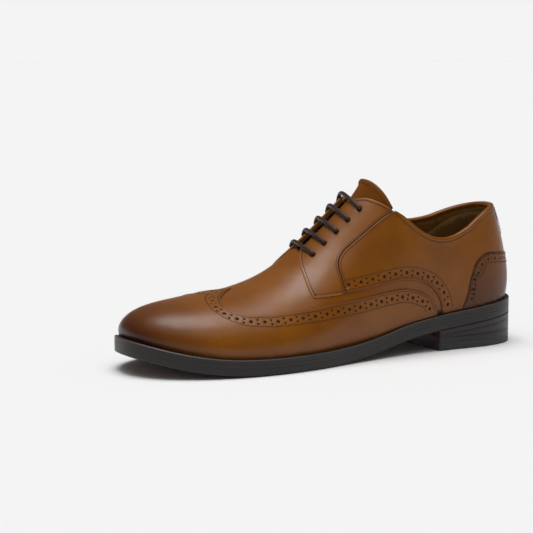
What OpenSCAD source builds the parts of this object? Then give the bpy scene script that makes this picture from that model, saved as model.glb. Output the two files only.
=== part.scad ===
// A left leather derby shoe with wing-tip brogueing, welted to a leather sole with a stacked heel.
// Lengths are in millimetres. +X points to the toe, +Y to the wearer's left and +Z up.
// The origin is under the middle of the shoe, on the ground.

/* [Sole] */
// Length of the sole from the back of the heel to the toe
sole_length = 300; // [290:1:310]
// Width of the sole across the ball of the foot
ball_width = 105.5; // [100:0.5:110]
// Thickness of the outsole
outsole_t = 5; // [4:0.5:6]
// Thickness of the midsole
midsole_t = 2.6; // [2:0.2:4]
// Thickness of the welt and of the heel rand
welt_t = 3; // [2.6:0.2:4]
// Height of the toe tip's underside above the ground
toe_spring = 12.5; // [8:0.5:16]

/* [Heel] */
// Height of the heel at its breast
breast_h = 14; // [13:0.5:20]
// How much higher the heel is at its back
heel_pitch = 8; // [4:0.5:10]
// Thickness of the rubber top piece
top_piece_t = 5; // [4:0.5:6]
// Thickness of one level heel lift
lift_t = 4; // [3:0.5:4]

/* [Upper] */
// Thickness of the upper leather
leather_t = 1.1; // [0.9:0.1:1.3]
// Thickness of the lining leather
lining_t = 0.8; // [0.6:0.1:1]
// Thickness of the stiffeners between leather and lining
stiffener_t = 0.6; // [0.4:0.1:0.8]

/* [Lacing] */
// Diameter of the round waxed lace
lace_d = 2.8; // [2.4:0.1:3]

/* [Hidden] */

// ---- Sizes that follow from the dimensions above ----
// The curves below are drawn for a sole of this length and width, and stretched to the chosen size
drawn_length = 300;
drawn_width = 105.5;
middle_y = 0.75;
stretch_x = sole_length / drawn_length;
stretch_y = ball_width / drawn_width;
// Heel breast, as a distance from the back of the heel
breast_x = 75;
// Where the welt meets the heel rand
welt_end = 80;
seat_t = outsole_t + midsole_t + welt_t;
// Room between two layers of the upper, and between the upper and the welt
layer_gap = 0.3;
feather_gap = 0.15;

// Inner and outer face of each layer, as a distance out of the last's surface
over_in = -0.1;
over_out = over_in + leather_t;
base_out = over_in - layer_gap;
base_in = base_out - leather_t;
stiff_out = base_in - layer_gap;
stiff_in = stiff_out - stiffener_t;
lining_out = stiff_in - layer_gap;
lining_in = lining_out - lining_t;
grip_out = lining_in - layer_gap;
grip_in = grip_out - lining_t;
cover_in = over_out + layer_gap;
cover_out = cover_in + lining_t;

// Hidden eyelets: a barrel through lining and stay, with a flange against the lining
eyelet_x = [163.5, 154.3, 145, 136.3, 127.7];
eyelet_side = [24, 24, 24.5, 25, 26.5];
// The medial row lies a little nearer to the heel
medial_shift = 2.2;
lace_hole_r = lace_d / 2 + 0.4;
barrel_r = lace_hole_r + 0.5;
flange_r = barrel_r + 0.6;
flange_t = 0.3;
flange_out = lining_in - 2 * layer_gap;
// Height of the lace's middle over the facings, and its depth under them
lace_high = over_out + lace_d / 2 + 0.15;
lace_low = flange_out - flange_t - lace_d / 2 - 0.15;
tongue_out = lace_low - lace_d / 2 - 0.35;

// ---- Curves through hand-placed points ----
function slope(tab, i) = (tab[i + 1][1] - tab[i][1]) / (tab[i + 1][0] - tab[i][0]);
function tangent(tab, i, flat) =
    let (last = len(tab) - 1)
    flat && (i == 0 || i == last) ? 0 :
    i == 0 ? slope(tab, 0) :
    i == last ? slope(tab, last - 1) :
    (slope(tab, i - 1) * (tab[i + 1][0] - tab[i][0]) + slope(tab, i) * (tab[i][0] - tab[i - 1][0]))
        / (tab[i + 1][0] - tab[i - 1][0]);
function span(tab, x, i = 0) = i >= len(tab) - 2 || x < tab[i + 1][0] ? i : span(tab, x, i + 1);
// Smooth value at x of a table of [x, value] pairs; flat levels both ends out
function curve(tab, x, flat = false) =
    let (
        u = min(max(x, tab[0][0]), tab[len(tab) - 1][0]),
        i = span(tab, u),
        h = tab[i + 1][0] - tab[i][0],
        t = (u - tab[i][0]) / h
    )
    tab[i][1] * (2 * t ^ 3 - 3 * t ^ 2 + 1) + tangent(tab, i, flat) * h * (t ^ 3 - 2 * t ^ 2 + t)
        + tab[i + 1][1] * (3 * t ^ 2 - 2 * t ^ 3) + tangent(tab, i + 1, flat) * h * (t ^ 3 - t ^ 2);
function mix(a, b, t) = a * (1 - t) + b * t;
function unit(v) = v / norm(v);
function reversed(list) = [for (i = [len(list) - 1:-1:0]) list[i]];
function tail(list) = [for (i = [1:len(list) - 1]) list[i]];
// Smooth line through a list of points, with `steps` points for each stretch
function spline(p, steps = 6) =
    let (n = len(p))
    concat([for (i = [0:n - 2], k = [0:steps - 1]) let (
        t = k / steps,
        a = p[max(i - 1, 0)], b = p[i], c = p[i + 1], d = p[min(i + 2, n - 1)]
    ) 0.5 * (2 * b + (c - a) * t + (2 * a - 5 * b + 4 * c - d) * t ^ 2 + (3 * b - 3 * c + d - a) * t ^ 3)],
    [p[n - 1]]);
function run(p) = [for (i = 0, d = 0; i < len(p); i = i + 1,
    d = i < len(p) ? d + norm(p[i] - p[i - 1]) : d) d];
// The same line with n equal steps
function even(p, n) =
    let (
        s = run(p),
        xs = [for (i = [0:len(p) - 1]) [s[i], p[i].x]],
        ys = [for (i = [0:len(p) - 1]) [s[i], p[i].y]],
        whole = s[len(s) - 1]
    )
    [for (k = [0:n]) [lookup(whole * k / n, xs), lookup(whole * k / n, ys)]];
// The same line on the side of the wearer's left, 1, or right, -1
function sided(line, side) = [for (q = line) [q.x, side * q.y]];
// Grid of points between two lines with the same number of points
function between(a, b, n) = [for (i = [0:len(a) - 1]) [for (k = [0:n]) mix(a[i], b[i], k / n)]];

// ---- Place in the shoe's own frame ----
function put(p) = [p.x * stretch_x - sole_length / 2, (p.y - middle_y) * stretch_y, p.z];
function put_flat(p) = [p.x * stretch_x - sole_length / 2, (p.y - middle_y) * stretch_y];

// ---- Sole ----
sole_lateral = [[45, 33], [75, 33], [110, 36], [150, 43.5], [185, 51], [213, 53.5]];
sole_medial = [[45, 32.5], [75, 31.5], [110, 30], [150, 36], [185, 46], [213, 52]];
underside_rise = [
    [breast_x, breast_h], [100, breast_h * 0.75], [125, breast_h * 0.36], [150, 1.45], [170, 0.3], [197, 0],
    [225, 0.3], [250, toe_spring * 0.148], [275, toe_spring * 0.48], [300, toe_spring]
];
// Height of the outsole's underside: a tilted plane over the heel, then a curve
function underside(x) =
    x < breast_x ? breast_h + heel_pitch * (breast_x - x) / breast_x : curve(underside_rise, x);

heel_x = 45;
toe_x = 213;
heel_power = 2.4;
toe_power_lateral = 2.05;
toe_power_medial = 2.3;
function oval(turn, long, wide, power) =
    let (r = (abs(cos(turn) / long) ^ power + abs(sin(turn) / wide) ^ power) ^ (-1 / power))
    [r * cos(turn), r * sin(turn)];
// One side of a sole outline from the heel's back to the toe; `inset` shrinks it all round
function side_line(widths, side, power, inset) =
    let (
        heel_w = widths[0][1] - inset,
        ball_w = widths[len(widths) - 1][1] - inset
    )
    concat(
        [for (a = [0:7.5:90]) let (o = oval(a, heel_x - inset, heel_w, heel_power))
            [heel_x - o.x, side * o.y]],
        [for (x = [heel_x + 10.5:10.5:toe_x - 1]) [x, side * (curve(widths, x, true) - inset)]],
        [for (a = [90:-6:0]) let (o = oval(a, drawn_length - inset - toe_x, ball_w, power))
            [toe_x + o.x, side * o.y]]
    );
function outline(inset) = concat(
    side_line(sole_lateral, 1, toe_power_lateral, inset),
    tail(reversed(tail(side_line(sole_medial, -1, toe_power_medial, inset))))
);
module outline_shape(inset) polygon([for (p = outline(inset)) put_flat(p)]);

band_x = concat([-10, breast_x], [for (x = [breast_x + 6.25:6.25:drawn_length]) x], [drawn_length + 10]);
// Solid band between two heights over the sole's underside, over the whole shoe
module band(low, high) {
    past_toe = 0.3;
    function reach(x) = underside(min(x, drawn_length)) + max(x - drawn_length, 0) * past_toe;
    bottom = [for (x = band_x) [put([x, 0, 0]).x, reach(x) + low]];
    top = [for (x = reversed(band_x)) [put([x, 0, 0]).x, reach(x) + high]];
    rotate([90, 0, 0])
        linear_extrude(height = 160, center = true)
            polygon(concat(bottom, top));
}
module block(from_x, to_x) {
    a = put([from_x, 0, 0]).x;
    translate([a, -80, -20]) cube([put([to_x, 0, 0]).x - a, 160, 120]);
}
module sole_layer(low, high, inset = 0) {
    intersection() {
        linear_extrude(height = 80) outline_shape(inset);
        band(low, high);
    }
}
module sole_ring(low, high, outer_inset, inner_inset) {
    intersection() {
        linear_extrude(height = 80)
            difference() {
                outline_shape(outer_inset);
                outline_shape(inner_inset);
            }
        band(low, high);
    }
}

welt_w = 10;
rib_w = 3.6;
rib_gap = 0.2;

module outsole() {
    color("#2e2220") sole_layer(0, outsole_t);
}
module midsole() {
    color("#33302f") sole_layer(outsole_t, outsole_t + midsole_t);
}
module welt() {
    color("#3a3432")
        intersection() {
            sole_ring(outsole_t + midsole_t, seat_t, 0, welt_w);
            block(welt_end, 320);
        }
}
module heel_rand() {
    color("#383230")
        intersection() {
            sole_ring(outsole_t + midsole_t, seat_t, 0, welt_w);
            block(-20, welt_end - rib_gap);
        }
}
module insole_rib() {
    color("#b99062")
        sole_ring(outsole_t + midsole_t, seat_t, welt_w + rib_gap, welt_w + rib_gap + rib_w);
}

shank_from = 56;
shank_to = 158;
shank_w = 14;
shank_t = 1.6;
shank_low = outsole_t + midsole_t + 0.6;
module shank_shape(grow) {
    intersection() {
        linear_extrude(height = 80)
            for (x = [shank_from, shank_to])
                translate(put_flat([x, 1])) circle(r = shank_w / 2 + grow, $fn = 40);
        band(shank_low - grow, shank_low + shank_t + grow);
    }
    intersection() {
        linear_extrude(height = 80)
            translate(put_flat([shank_from, 1]) - [0, shank_w / 2 + grow])
                square([(shank_to - shank_from) * stretch_x, shank_w + 2 * grow]);
        band(shank_low - grow, shank_low + shank_t + grow);
    }
}
module shank() {
    color("silver") shank_shape(0);
}
module cork_filler() {
    color("#a9825a")
        difference() {
            sole_layer(outsole_t + midsole_t, seat_t, welt_w + rib_w + 2 * rib_gap);
            shank_shape(0.1);
        }
}

// ---- Heel ----
nail_r = 1;
nail_head_r = 2.2;
nail_head_t = 1;
nail_places = [
    [9, 0], [14, 17], [14, -17], [30, 24], [30, -24], [48, 25], [48, -25], [66, 22], [66, -22],
    [68, 8], [68, -8]
];
module nail_set(grow = 0) {
    for (p = nail_places)
        translate(concat(put_flat(p), [0]))
            cylinder(r = nail_r + grow, h = underside(p.x) - 0.6, $fn = 24);
}
module nail_heads() {
    for (p = nail_places)
        translate(concat(put_flat(p), [0.2])) cylinder(r = nail_head_r, h = nail_head_t, $fn = 32);
}
module heel_slab(low, high) {
    intersection() {
        linear_extrude(height = 60) outline_shape(0);
        block(-20, breast_x);
        translate([0, 0, low]) translate([-200, -80, 0]) cube([400, 160, high - low]);
    }
}
wedge_low = top_piece_t + lift_t;
module heel_top_piece() {
    color("#2b2726")
        difference() {
            heel_slab(0, top_piece_t);
            nail_set();
            nail_heads();
            for (p = nail_places)
                translate(concat(put_flat(p), [-1])) cylinder(r = nail_head_r, h = 1.3, $fn = 32);
        }
}
module heel_lift_1() {
    color("#3b2d27")
        difference() {
            heel_slab(top_piece_t, wedge_low);
            nail_set();
        }
}
// The wedge that turns the level lifts into the pitch of the heel seat
module heel_lift_2() {
    color("#372a25")
        difference() {
            intersection() {
                heel_slab(wedge_low, 60);
                band(-60, -lift_t);
            }
            nail_set();
        }
}
module heel_lift_3() {
    color("#3b2d27")
        difference() {
            intersection() {
                heel_slab(wedge_low, 60);
                band(-lift_t, 0);
            }
            nail_set();
        }
}
module heel_nails() {
    color("goldenrod") {
        difference() {
            nail_set();
            translate([-200, -80, -1]) cube([400, 160, 1.2]);
        }
        nail_heads();
    }
}

// ---- The last: the outer shape of the foot part ----
// A place on it is [along, around]: `along` runs with the shoe, and `around` is 0 on the ridge,
// 100 at the lateral feather edge and -100 at the medial one. Round the toe and the heel, the
// distance from [toe_x, 0] or [heel_x, 0] takes the place of `around`.
feather_lateral = [[45, 31.5], [75, 31], [110, 33], [150, 39], [185, 46.5], [213, 49]];
feather_medial = [[45, 31], [75, 29.5], [110, 27], [150, 32.5], [185, 42.5], [213, 48]];
feather_toe = 294.5;
feather_back = 1;
feather_power_medial = 2.35;
crown_height = [
    [0, 150], [45, 150], [90, 139], [120, 113], [150, 85], [180, 62.5], [213, 50.5], [250, 46.5],
    [300, 50]
];
// How full the cross-section is: 2 is an ellipse, more is squarer
fullness = [
    [0, 1.6], [45, 1.75], [80, 2], [110, 2.35], [150, 2.25], [185, 2.1], [213, 2.1], [250, 2.25],
    [300, 2.5]
];
// How far the side swells over the feather edge, as a part of the half width
swell = [[0, 0.07], [75, 0.05], [110, 0.06], [150, 0.06], [213, 0.04], [260, 0.03], [300, 0.02]];
swell_at = 0.28;
// The ridge of the instep lies towards the inner side of the foot
ridge_y = [[0, 0], [60, -1], [120, -8.5], [160, -11.5], [213, -4]];
// The layers lie deeper at the heel, so that the counter cover ends flush with the sole's edge
heel_sink = [[45, 2.5], [100, 0]];

function seat(x) = underside(x) + seat_t + feather_gap;
function on_last(c) =
    let (
        base = min(max(c.x, heel_x), toe_x),
        dx = c.x - base,
        v = norm([dx, c.y]),
        ry = curve(ridge_y, base, true),
        w = c.y >= 0 ? curve(feather_lateral, base, true) - ry : curve(feather_medial, base, true) + ry,
        turn = atan2(abs(c.y), abs(dx)),
        long = dx > 0 ? feather_toe - toe_x : heel_x - feather_back,
        power = dx <= 0 ? heel_power : c.y >= 0 ? toe_power_lateral : feather_power_medial,
        reach = dx == 0 ? w : norm(oval(turn, long, w, power)),
        way = v > 0 ? [dx, c.y] / v : [0, 1],
        foot_x = base + reach * way.x,
        full = 2 / curve(fullness, foot_x),
        rise = max(0, 1 - v / 100) * 90,
        b = sin(rise) ^ full,
        a = cos(rise) ^ full * (1 + curve(swell, foot_x) * b / swell_at * exp(1 - b / swell_at)),
        x = base + reach * way.x * a,
        floor_z = seat(foot_x)
    )
    [x, ry + reach * way.y * a, floor_z + (curve(crown_height, x) - floor_z) * b];
function last_normal(c, e = 0.3) =
    let (
        y = abs(c.y) > 100 - e ? sign(c.y) * (100 - e) : c.y,
        dx = on_last([c.x + e, c.y]) - on_last([c.x - e, c.y]),
        dy = on_last([c.x, y + e]) - on_last([c.x, y - e])
    )
    unit(cross(dx, dy));
function sunk(c) = curve(heel_sink, c.x, true);
// Point at a height over the last's surface
function raised(c, height) = on_last(c) + last_normal(c) * (height - sunk(c));

// A place on the last from the unrolled side view: `s` runs along the side and then round the heel
// to its back, and `z` is the height above the ground
heel_arc = 52;
back_s = heel_x - heel_arc;
function spot(s, z, side = 1) =
    let (
        turn = 90 * (1 - max(0, heel_x - s) / heel_arc),
        w = side > 0 ? feather_lateral[0][1] : feather_medial[0][1],
        foot_x = s >= heel_x ? s : heel_x - oval(turn, heel_x - feather_back, w, heel_power).x,
        floor_z = seat(foot_x),
        top_z = curve(crown_height, max(s, heel_x)),
        b = min(max((z - floor_z) / (top_z - floor_z), 0), 1),
        v = 100 * (1 - asin(b ^ (curve(fullness, foot_x) / 2)) / 90)
    )
    s >= heel_x ? [s, v] : [heel_x - v * cos(turn), v * sin(turn)];
// Places along a smooth line drawn in the unrolled side view
function drawn(line, side = 1) = [for (p = spline(line)) spot(p.x, p.y, side)];

// Sheet over a grid of places on the last, between two heights. A height is one number, or a list of
// them in the grid's order.
module sheet_over(grid, low, high) {
    rows = len(grid);
    cols = len(grid[0]);
    size = rows * cols;
    spots = [for (row = grid, c = row) [on_last(c), last_normal(c), sunk(c)]];
    function level(h, n) = is_list(h) ? h[n] : h;
    points = concat(
        [for (n = [0:size - 1]) let (s = spots[n]) put(s[0] + s[1] * (level(high, n) - s[2]))],
        [for (n = [0:size - 1]) let (s = spots[n]) put(s[0] + s[1] * (level(low, n) - s[2]))]
    );
    function at(i, k) = i * cols + k;
    rim = concat(
        [for (i = [0:rows - 1]) at(i, 0)],
        [for (k = [1:cols - 1]) at(rows - 1, k)],
        [for (i = [rows - 2:-1:0]) at(i, cols - 1)],
        [for (k = [cols - 2:-1:1]) at(0, k)]
    );
    faces = concat(
        [for (i = [0:rows - 2], k = [0:cols - 2]) each [
            [at(i, k), at(i, k + 1), at(i + 1, k + 1)],
            [at(i, k), at(i + 1, k + 1), at(i + 1, k)],
            [size + at(i, k), size + at(i + 1, k + 1), size + at(i, k + 1)],
            [size + at(i, k), size + at(i + 1, k), size + at(i + 1, k + 1)]
        ]],
        [for (n = [0:len(rim) - 1]) let (a = rim[n], b = rim[(n + 1) % len(rim)]) each [
            [a, b, size + b],
            [a, size + b, size + a]
        ]]
    );
    // Which way round the grid runs on the surface decides which side of a face is out
    i = floor(rows / 2);
    d1 = grid[i][0] - grid[i - 1][0];
    d2 = grid[i][cols - 1] - grid[i][0];
    turns_left = d1.x * d2.y - d1.y * d2.x > 0;
    polyhedron(points, turns_left ? faces : [for (f = faces) [f[0], f[2], f[1]]], convexity = 10);
}

// Faces of a closed tube from n rings of points
function tube_faces(n, sides) = concat(
    [[for (k = [0:sides - 1]) k]],
    [[for (k = [sides - 1:-1:0]) (n - 1) * sides + k]],
    [for (i = [0:n - 2], k = [0:sides - 1]) let (
        a = i * sides + k, b = i * sides + (k + 1) % sides
    ) each [[a, a + sides, b + sides], [a, b + sides, b]]]
);
// Tube of round section along a line of points
module tube(points, d, sides = 8) {
    n = len(points);
    ways = [for (i = [0:n - 1]) unit(points[min(i + 1, n - 1)] - points[max(i - 1, 0)])];
    start = unit(cross(ways[0], abs(ways[0].z) < 0.8 ? [0, 0, 1] : [1, 0, 0]));
    side = [for (i = 0, u = start; i < n; i = i + 1,
        u = i < n ? unit(u - (u * ways[i]) * ways[i]) : u) u];
    ring = [for (i = [0:n - 1], k = [0:sides - 1]) let (turn = 360 * k / sides)
        points[i] + d / 2 * (cos(turn) * side[i] + sin(turn) * cross(ways[i], side[i]))];
    polyhedron(ring, tube_faces(n, sides), convexity = 10);
}

// ---- Lines drawn on the last, as [along, around], for the lateral side ----
// Edge of the wings, from its rear end to its peak on the ridge
wing_side = [
    [75, 98.8], [79, 94.5], [85, 91.5], [100, 88.5], [118, 85.3], [135, 81], [152, 75.7], [168, 69.6],
    [183, 64.4], [198, 60], [213, 56.8]
];
wing_front = [
    [213, 56.8], [229, 50.3], [236.5, 41], [238, 31], [235, 21.5], [230, 13], [221, 4], [215, 0]
];
// Lower edge of the quarter, from the facing to the welt
quarter_low = [[152.7, 70.5], [134.6, 77.2], [117.8, 82], [100.5, 85.2]];
quarter_rear = [[100.5, 85.2], [91.8, 86.5], [83, 88.3], [76.7, 91.4], [73, 94.8], [70.7, 99.7]];
// Upper edge of the quarter, along the facing seam to the topline
quarter_seam = [
    [152.7, 57], [151.3, 48.8], [147, 45.3], [141, 45], [130, 46.9], [118, 48.5], [107.3, 50.8]
];
// Topline from the facing seam to the back, in the unrolled side view
topline_lateral = [
    [107.3, 97.5], [97, 88], [88, 81.5], [79, 77.5], [71, 76], [63, 76.3], [55, 78.5], [46, 82.5],
    [45, 83]
];
heel_top_lateral = [[45, 83], [36, 87.5], [24, 92.5], [13, 95.5], [3, 96.7], [-6.8, 97]];
topline_medial = [
    [107.3, 98.5], [96, 92.5], [86, 88.5], [75, 86], [64, 84.5], [53, 85.5], [46, 86.8], [45, 87]
];
heel_top_medial = [[45, 87], [36, 88.8], [24, 91.7], [13, 94.4], [3, 96.2], [-6.8, 97]];
// Upper edge of the counter cover, in the same view
counter_front = [[53.5, 28.5], [50.3, 36.5], [47.5, 48], [43.5, 58]];
counter_top = [[43.5, 58], [38, 63.5], [30, 65.8], [20, 65.5], [7, 64.5], [-7, 64.5]];
// Edges of the facing, from the topline down to its lower edge
throat_lateral = 7.5;
throat_medial = 10.5;
function facing_front(throat) = [
    [126.5, 14], [131, throat + 0.8], [145, throat], [158, throat], [165, throat + 1], [170, 14.5],
    [174.5, 26], [177.5, 42], [178, 51], [177.4, 57.2]
];
facing_rear = [
    [107.8, 49.4], [118, 47.1], [130, 45.5], [141, 43.6], [148, 43.5], [152.7, 47.4], [154, 55],
    [154, 69.5]
];
facing_top = [[126.5, 14], [122, 22], [116, 35], [107.5, 50]];

// Feather edge round the toe or the heel
function toe_rim(from, to, steps, v = 99.7) = [for (k = [0:steps]) let (a = mix(from, to, k / steps))
    [toe_x + v * cos(a), v * sin(a)]];
function heel_rim(from, to, steps, v = 99.7) = [for (k = [0:steps]) let (a = mix(from, to, k / steps))
    [heel_x - v * cos(a), v * sin(a)]];
function both_sides(p) = concat(p, tail(reversed(sided(p, -1))));

module wing_cap() {
    side_steps = 16;
    front_steps = 11;
    edge = concat(even(spline(wing_side), side_steps), tail(even(spline(wing_front), front_steps)));
    foot = concat(even([[77, 99.7], [213, 99.7]], side_steps), tail(toe_rim(90, 0, front_steps)));
    color("#8a5a22") sheet_over(between(both_sides(edge), both_sides(foot), 7), over_in, over_out);
}
module vamp() {
    side_steps = 13;
    front_steps = 9;
    // The vamp runs on under the wings and under the quarters
    edge = concat(even(spline(wing_side), side_steps), tail(even(spline(wing_front), front_steps)));
    foot = concat(even([[77, 99.7], [213, 99.7]], side_steps), tail(toe_rim(90, 0, front_steps)));
    lapped = [for (i = [0:len(edge) - 1]) mix(edge[i], foot[i], 0.14)];
    rear = concat(
        even(
            spline([[64, 98.5], [69, 91], [82, 84], [99, 80], [133, 70.5], [150, 64], [165, 53]]), side_steps
        ),
        tail(even(spline([[165, 53], [170, 42], [170, 28], [166.5, 12], [164.5, 0]]), front_steps))
    );
    color("#9c6a2a") sheet_over(between(both_sides(rear), both_sides(lapped), 7), base_in, base_out);
}
function quarter_grid(side, top_line, heel_line, n) =
    let (
        top = concat(
            even(spline(quarter_seam), 8),
            tail(even(drawn(top_line, side), 15)),
            tail(even(drawn(heel_line, side), 9))
        ),
        foot = concat(
            even(spline(quarter_low), 8),
            tail(even(concat(spline(quarter_rear), [[58, 99.7], [45, 99.7]]), 15)),
            tail(heel_rim(90, 0.2, 9))
        )
    )
    between(sided(top, side), sided(foot, side), n);
module lateral_quarter() {
    color("#96642a")
        sheet_over(quarter_grid(1, topline_lateral, heel_top_lateral, 7), over_in, over_out);
}
module medial_quarter() {
    color("#96642a")
        sheet_over(quarter_grid(-1, topline_medial, heel_top_medial, 8), over_in, over_out);
}

// ---- Lacing ----
function eyelet(side, row) = [eyelet_x[row] - (side < 0 ? medial_shift : 0), side * eyelet_side[row]];
// Stands its children on an eyelet, with their +Z out of the shoe
module at_eyelet(side, row) {
    c = eyelet(side, row);
    n = last_normal(c);
    translate(put(on_last(c))) rotate([0, acos(n.z), atan2(n.y, n.x)]) children();
}
module eyelet_holes(side, r) {
    for (row = [0:len(eyelet_x) - 1])
        at_eyelet(side, row) translate([0, 0, -8]) cylinder(r = r, h = 14, $fn = 32);
}
module facing(side) {
    front = facing_front(side > 0 ? throat_lateral : throat_medial);
    grid = between(sided(even(spline(facing_rear), 13), side), sided(even(spline(front), 13), side), 6);
    difference() {
        sheet_over(grid, over_in, over_out);
        eyelet_holes(side, lace_hole_r);
    }
}
module lateral_facing() {
    color("#a06c30") facing(1);
}
module medial_facing() {
    color("#a06c30") facing(-1);
}
module stay(side) {
    inner = even([[126, 14], [164, 13]], 8);
    outer = even([[124, 38], [167, 34]], 8);
    grid = between(sided(outer, side), sided(inner, side), 4);
    difference() {
        sheet_over(grid, stiff_in, stiff_out);
        eyelet_holes(side, barrel_r + 0.1);
    }
}
module lateral_stay() {
    color("wheat") stay(1);
}
module medial_stay() {
    color("wheat") stay(-1);
}
module eyelets(side) {
    for (row = [0:len(eyelet_x) - 1])
        at_eyelet(side, row)
            difference() {
                union() {
                    translate([0, 0, flange_out - flange_t])
                        cylinder(r = barrel_r, h = base_out - 0.3 - flange_out + flange_t, $fn = 32);
                    translate([0, 0, flange_out - flange_t])
                        cylinder(r = flange_r, h = flange_t, $fn = 32);
                }
                translate([0, 0, -8]) cylinder(r = lace_hole_r, h = 14, $fn = 32);
            }
}
module lateral_eyelets() {
    color("#b08d57") eyelets(1);
}
module medial_eyelets() {
    color("#b08d57") eyelets(-1);
}

// ---- Trim at the heel ----
module counter_cover() {
    half_foot = concat(
        even(concat([[54, 99.5], [45, 99.5]], tail(heel_rim(90, 75, 1, 99.5))), 6),
        tail(heel_rim(75, 0, 9, 99.5))
    );
    half_top = concat(even(drawn(counter_front), 6), tail(even(drawn(counter_top), 9)));
    color("#7a4a20")
        sheet_over(between(both_sides(half_top), both_sides(half_foot), 4), cover_in, cover_out);
}
tab_height = 96.9;
module back_tab() {
    half_top = drawn([
        [5.5, tab_height - 1], [1.5, tab_height - 0.4], [-3, tab_height], [-7, tab_height]
    ]);
    half_low = drawn([[5, 84], [4, 78.5], [-1, 75], [-7, 74]]);
    color("#84501f")
        sheet_over(
            between(both_sides(even(half_top, 4)), both_sides(even(half_low, 4)), 3),
            cover_in, cover_out
        );
}
// Rolled binding over the raw edges of quarters and linings along the topline
binding_w = over_out - lining_in + 1;
binding_h = 2.6;
binding_steps = 30;
function binding_line(top_line, heel_line, side) =
    sided(even(concat(drawn(top_line, side), tail(drawn(heel_line, side))), binding_steps), side);
module topline_binding() {
    lateral = binding_line(topline_lateral, heel_top_lateral, 1);
    medial = binding_line(topline_medial, heel_top_medial, -1);
    line = concat(
        [for (i = [0:binding_steps - 1]) lateral[i]],
        [spot(back_s, 97)],
        tail(reversed(medial))
    );
    n = len(line);
    spots = [for (c = line) raised(c, (over_out + lining_in) / 2)];
    ways = [for (i = [0:n - 1]) unit(spots[min(i + 1, n - 1)] - spots[max(i - 1, 0)])];
    outs = [for (c = line) last_normal(c)];
    sides = 8;
    ring = [for (i = [0:n - 1], k = [0:sides - 1]) let (
        up = unit(cross(outs[i], ways[i])),
        out = cross(up, ways[i]),
        turn = 360 * k / sides
    ) put(spots[i] + up * (binding_h / 2 * (1 + sin(turn)) + 0.3) + out * (binding_w / 2 * cos(turn)))];
    color("#a9742f") polyhedron(ring, tube_faces(n, sides), convexity = 10);
}

// ---- Stiffeners and linings ----
module toe_puff() {
    outer = toe_rim(74, -74, 20, 98.5);
    inner = even(
        spline([[232, 64], [240, 46], [246, 22], [248, 0], [246, -22], [240, -46], [232, -64]]), 20
    );
    color("tan") sheet_over(between(inner, outer, 6), stiff_in, stiff_out);
}
module heel_stiffener() {
    half_foot = concat(even([[88, 98.5], [45, 98.5]], 6), tail(heel_rim(90, 0, 10, 98.5)));
    half_top = concat(
        even(drawn([[84, 33], [72, 46], [60, 55], [45, 61.5]]), 6),
        tail(even(drawn([[45, 61.5], [30, 67], [10, 71.5], [-7, 73]]), 10))
    );
    color("tan")
        sheet_over(between(both_sides(half_top), both_sides(half_foot), 4), stiff_in, stiff_out);
}
module vamp_lining() {
    side_steps = 10;
    front_steps = 11;
    rear = concat(
        even(spline([[121, 99], [134, 87], [152, 76], [168, 60]]), side_steps),
        tail(even(spline([[168, 60], [174, 43], [176, 25], [177, 10], [177, 0]]), front_steps))
    );
    foot = concat(
        even([[130, 99.3], [213, 99.3]], side_steps), tail(toe_rim(90, 0, front_steps, 99.3))
    );
    color("burlywood")
        sheet_over(between(both_sides(rear), both_sides(foot), 7), lining_in, lining_out);
}
function lining_grid(side, top_line, heel_line, throat) =
    let (
        top = concat(
            even([[165, throat + 1.5], [131, throat + 1.2], [127, 14.5]], 6),
            tail(even(concat(tail(spline(facing_top)), tail(drawn(top_line, side))), 19)),
            tail(even(drawn(heel_line, side), 8))
        ),
        foot = concat(
            even(spline([[171, 42], [165, 58], [150, 74.5], [132, 85.8]]), 6),
            tail(even([[132, 85.8], [118, 96.5], [113, 99.3], [45, 99.3]], 19)),
            tail(heel_rim(90, 0.2, 8, 99.3))
        )
    )
    between(sided(top, side), sided(foot, side), 8);
module lateral_lining() {
    color("burlywood")
        difference() {
            sheet_over(
                lining_grid(1, topline_lateral, heel_top_lateral, throat_lateral), lining_in, lining_out
            );
            eyelet_holes(1, barrel_r + 0.1);
        }
}
module medial_lining() {
    color("burlywood")
        difference() {
            sheet_over(
                lining_grid(-1, topline_medial, heel_top_medial, throat_medial), lining_in, lining_out
            );
            eyelet_holes(-1, barrel_r + 0.1);
        }
}
module heel_grip() {
    half_low = concat([[62, 88]], heel_rim(90, 0, 10, 88));
    half_top = concat([spot(57, 68)], even(drawn([[45, 76], [30, 84], [12, 90], [-7, 92]]), 10));
    color("peru") sheet_over(between(both_sides(half_top), both_sides(half_low), 4), grip_in, grip_out);
}

// ---- Foot bed ----
insole_t = 2.5;
sock_t = 1;
pad_t = 2.5;
insole_inset = 9.6;
function pad_rise(x) = pad_t * curve([[50, 1], [78, 0]], x, true);
module raised_band(low, low_rise, high, high_rise) {
    stations = concat([-10], [for (x = [0:7.5:120]) x], [for (x = [126.25:6.25:drawn_length]) x], [310]);
    function z(x, h, rise) = underside(min(max(x, -10), 300)) + h + rise * pad_rise(x);
    rotate([90, 0, 0])
        linear_extrude(height = 160, center = true)
            polygon(concat(
                [for (x = stations) [put([x, 0, 0]).x, z(x, low, low_rise)]],
                [for (x = reversed(stations)) [put([x, 0, 0]).x, z(x, high, high_rise)]]
            ));
}
module insole() {
    color("#c9a06c") sole_layer(seat_t, seat_t + insole_t, insole_inset);
}
module heel_pad() {
    color("#d8c4a0")
        intersection() {
            linear_extrude(height = 80) outline_shape(insole_inset + 1.5);
            raised_band(seat_t + insole_t + 0.05, 0, seat_t + insole_t + 0.05, 1);
            block(-20, 74);
        }
}
module sock_liner() {
    color("#b98b4f")
        intersection() {
            linear_extrude(height = 80) outline_shape(insole_inset + 0.4);
            raised_band(seat_t + insole_t + 0.1, 1, seat_t + insole_t + 0.1 + sock_t, 1);
        }
}

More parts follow.
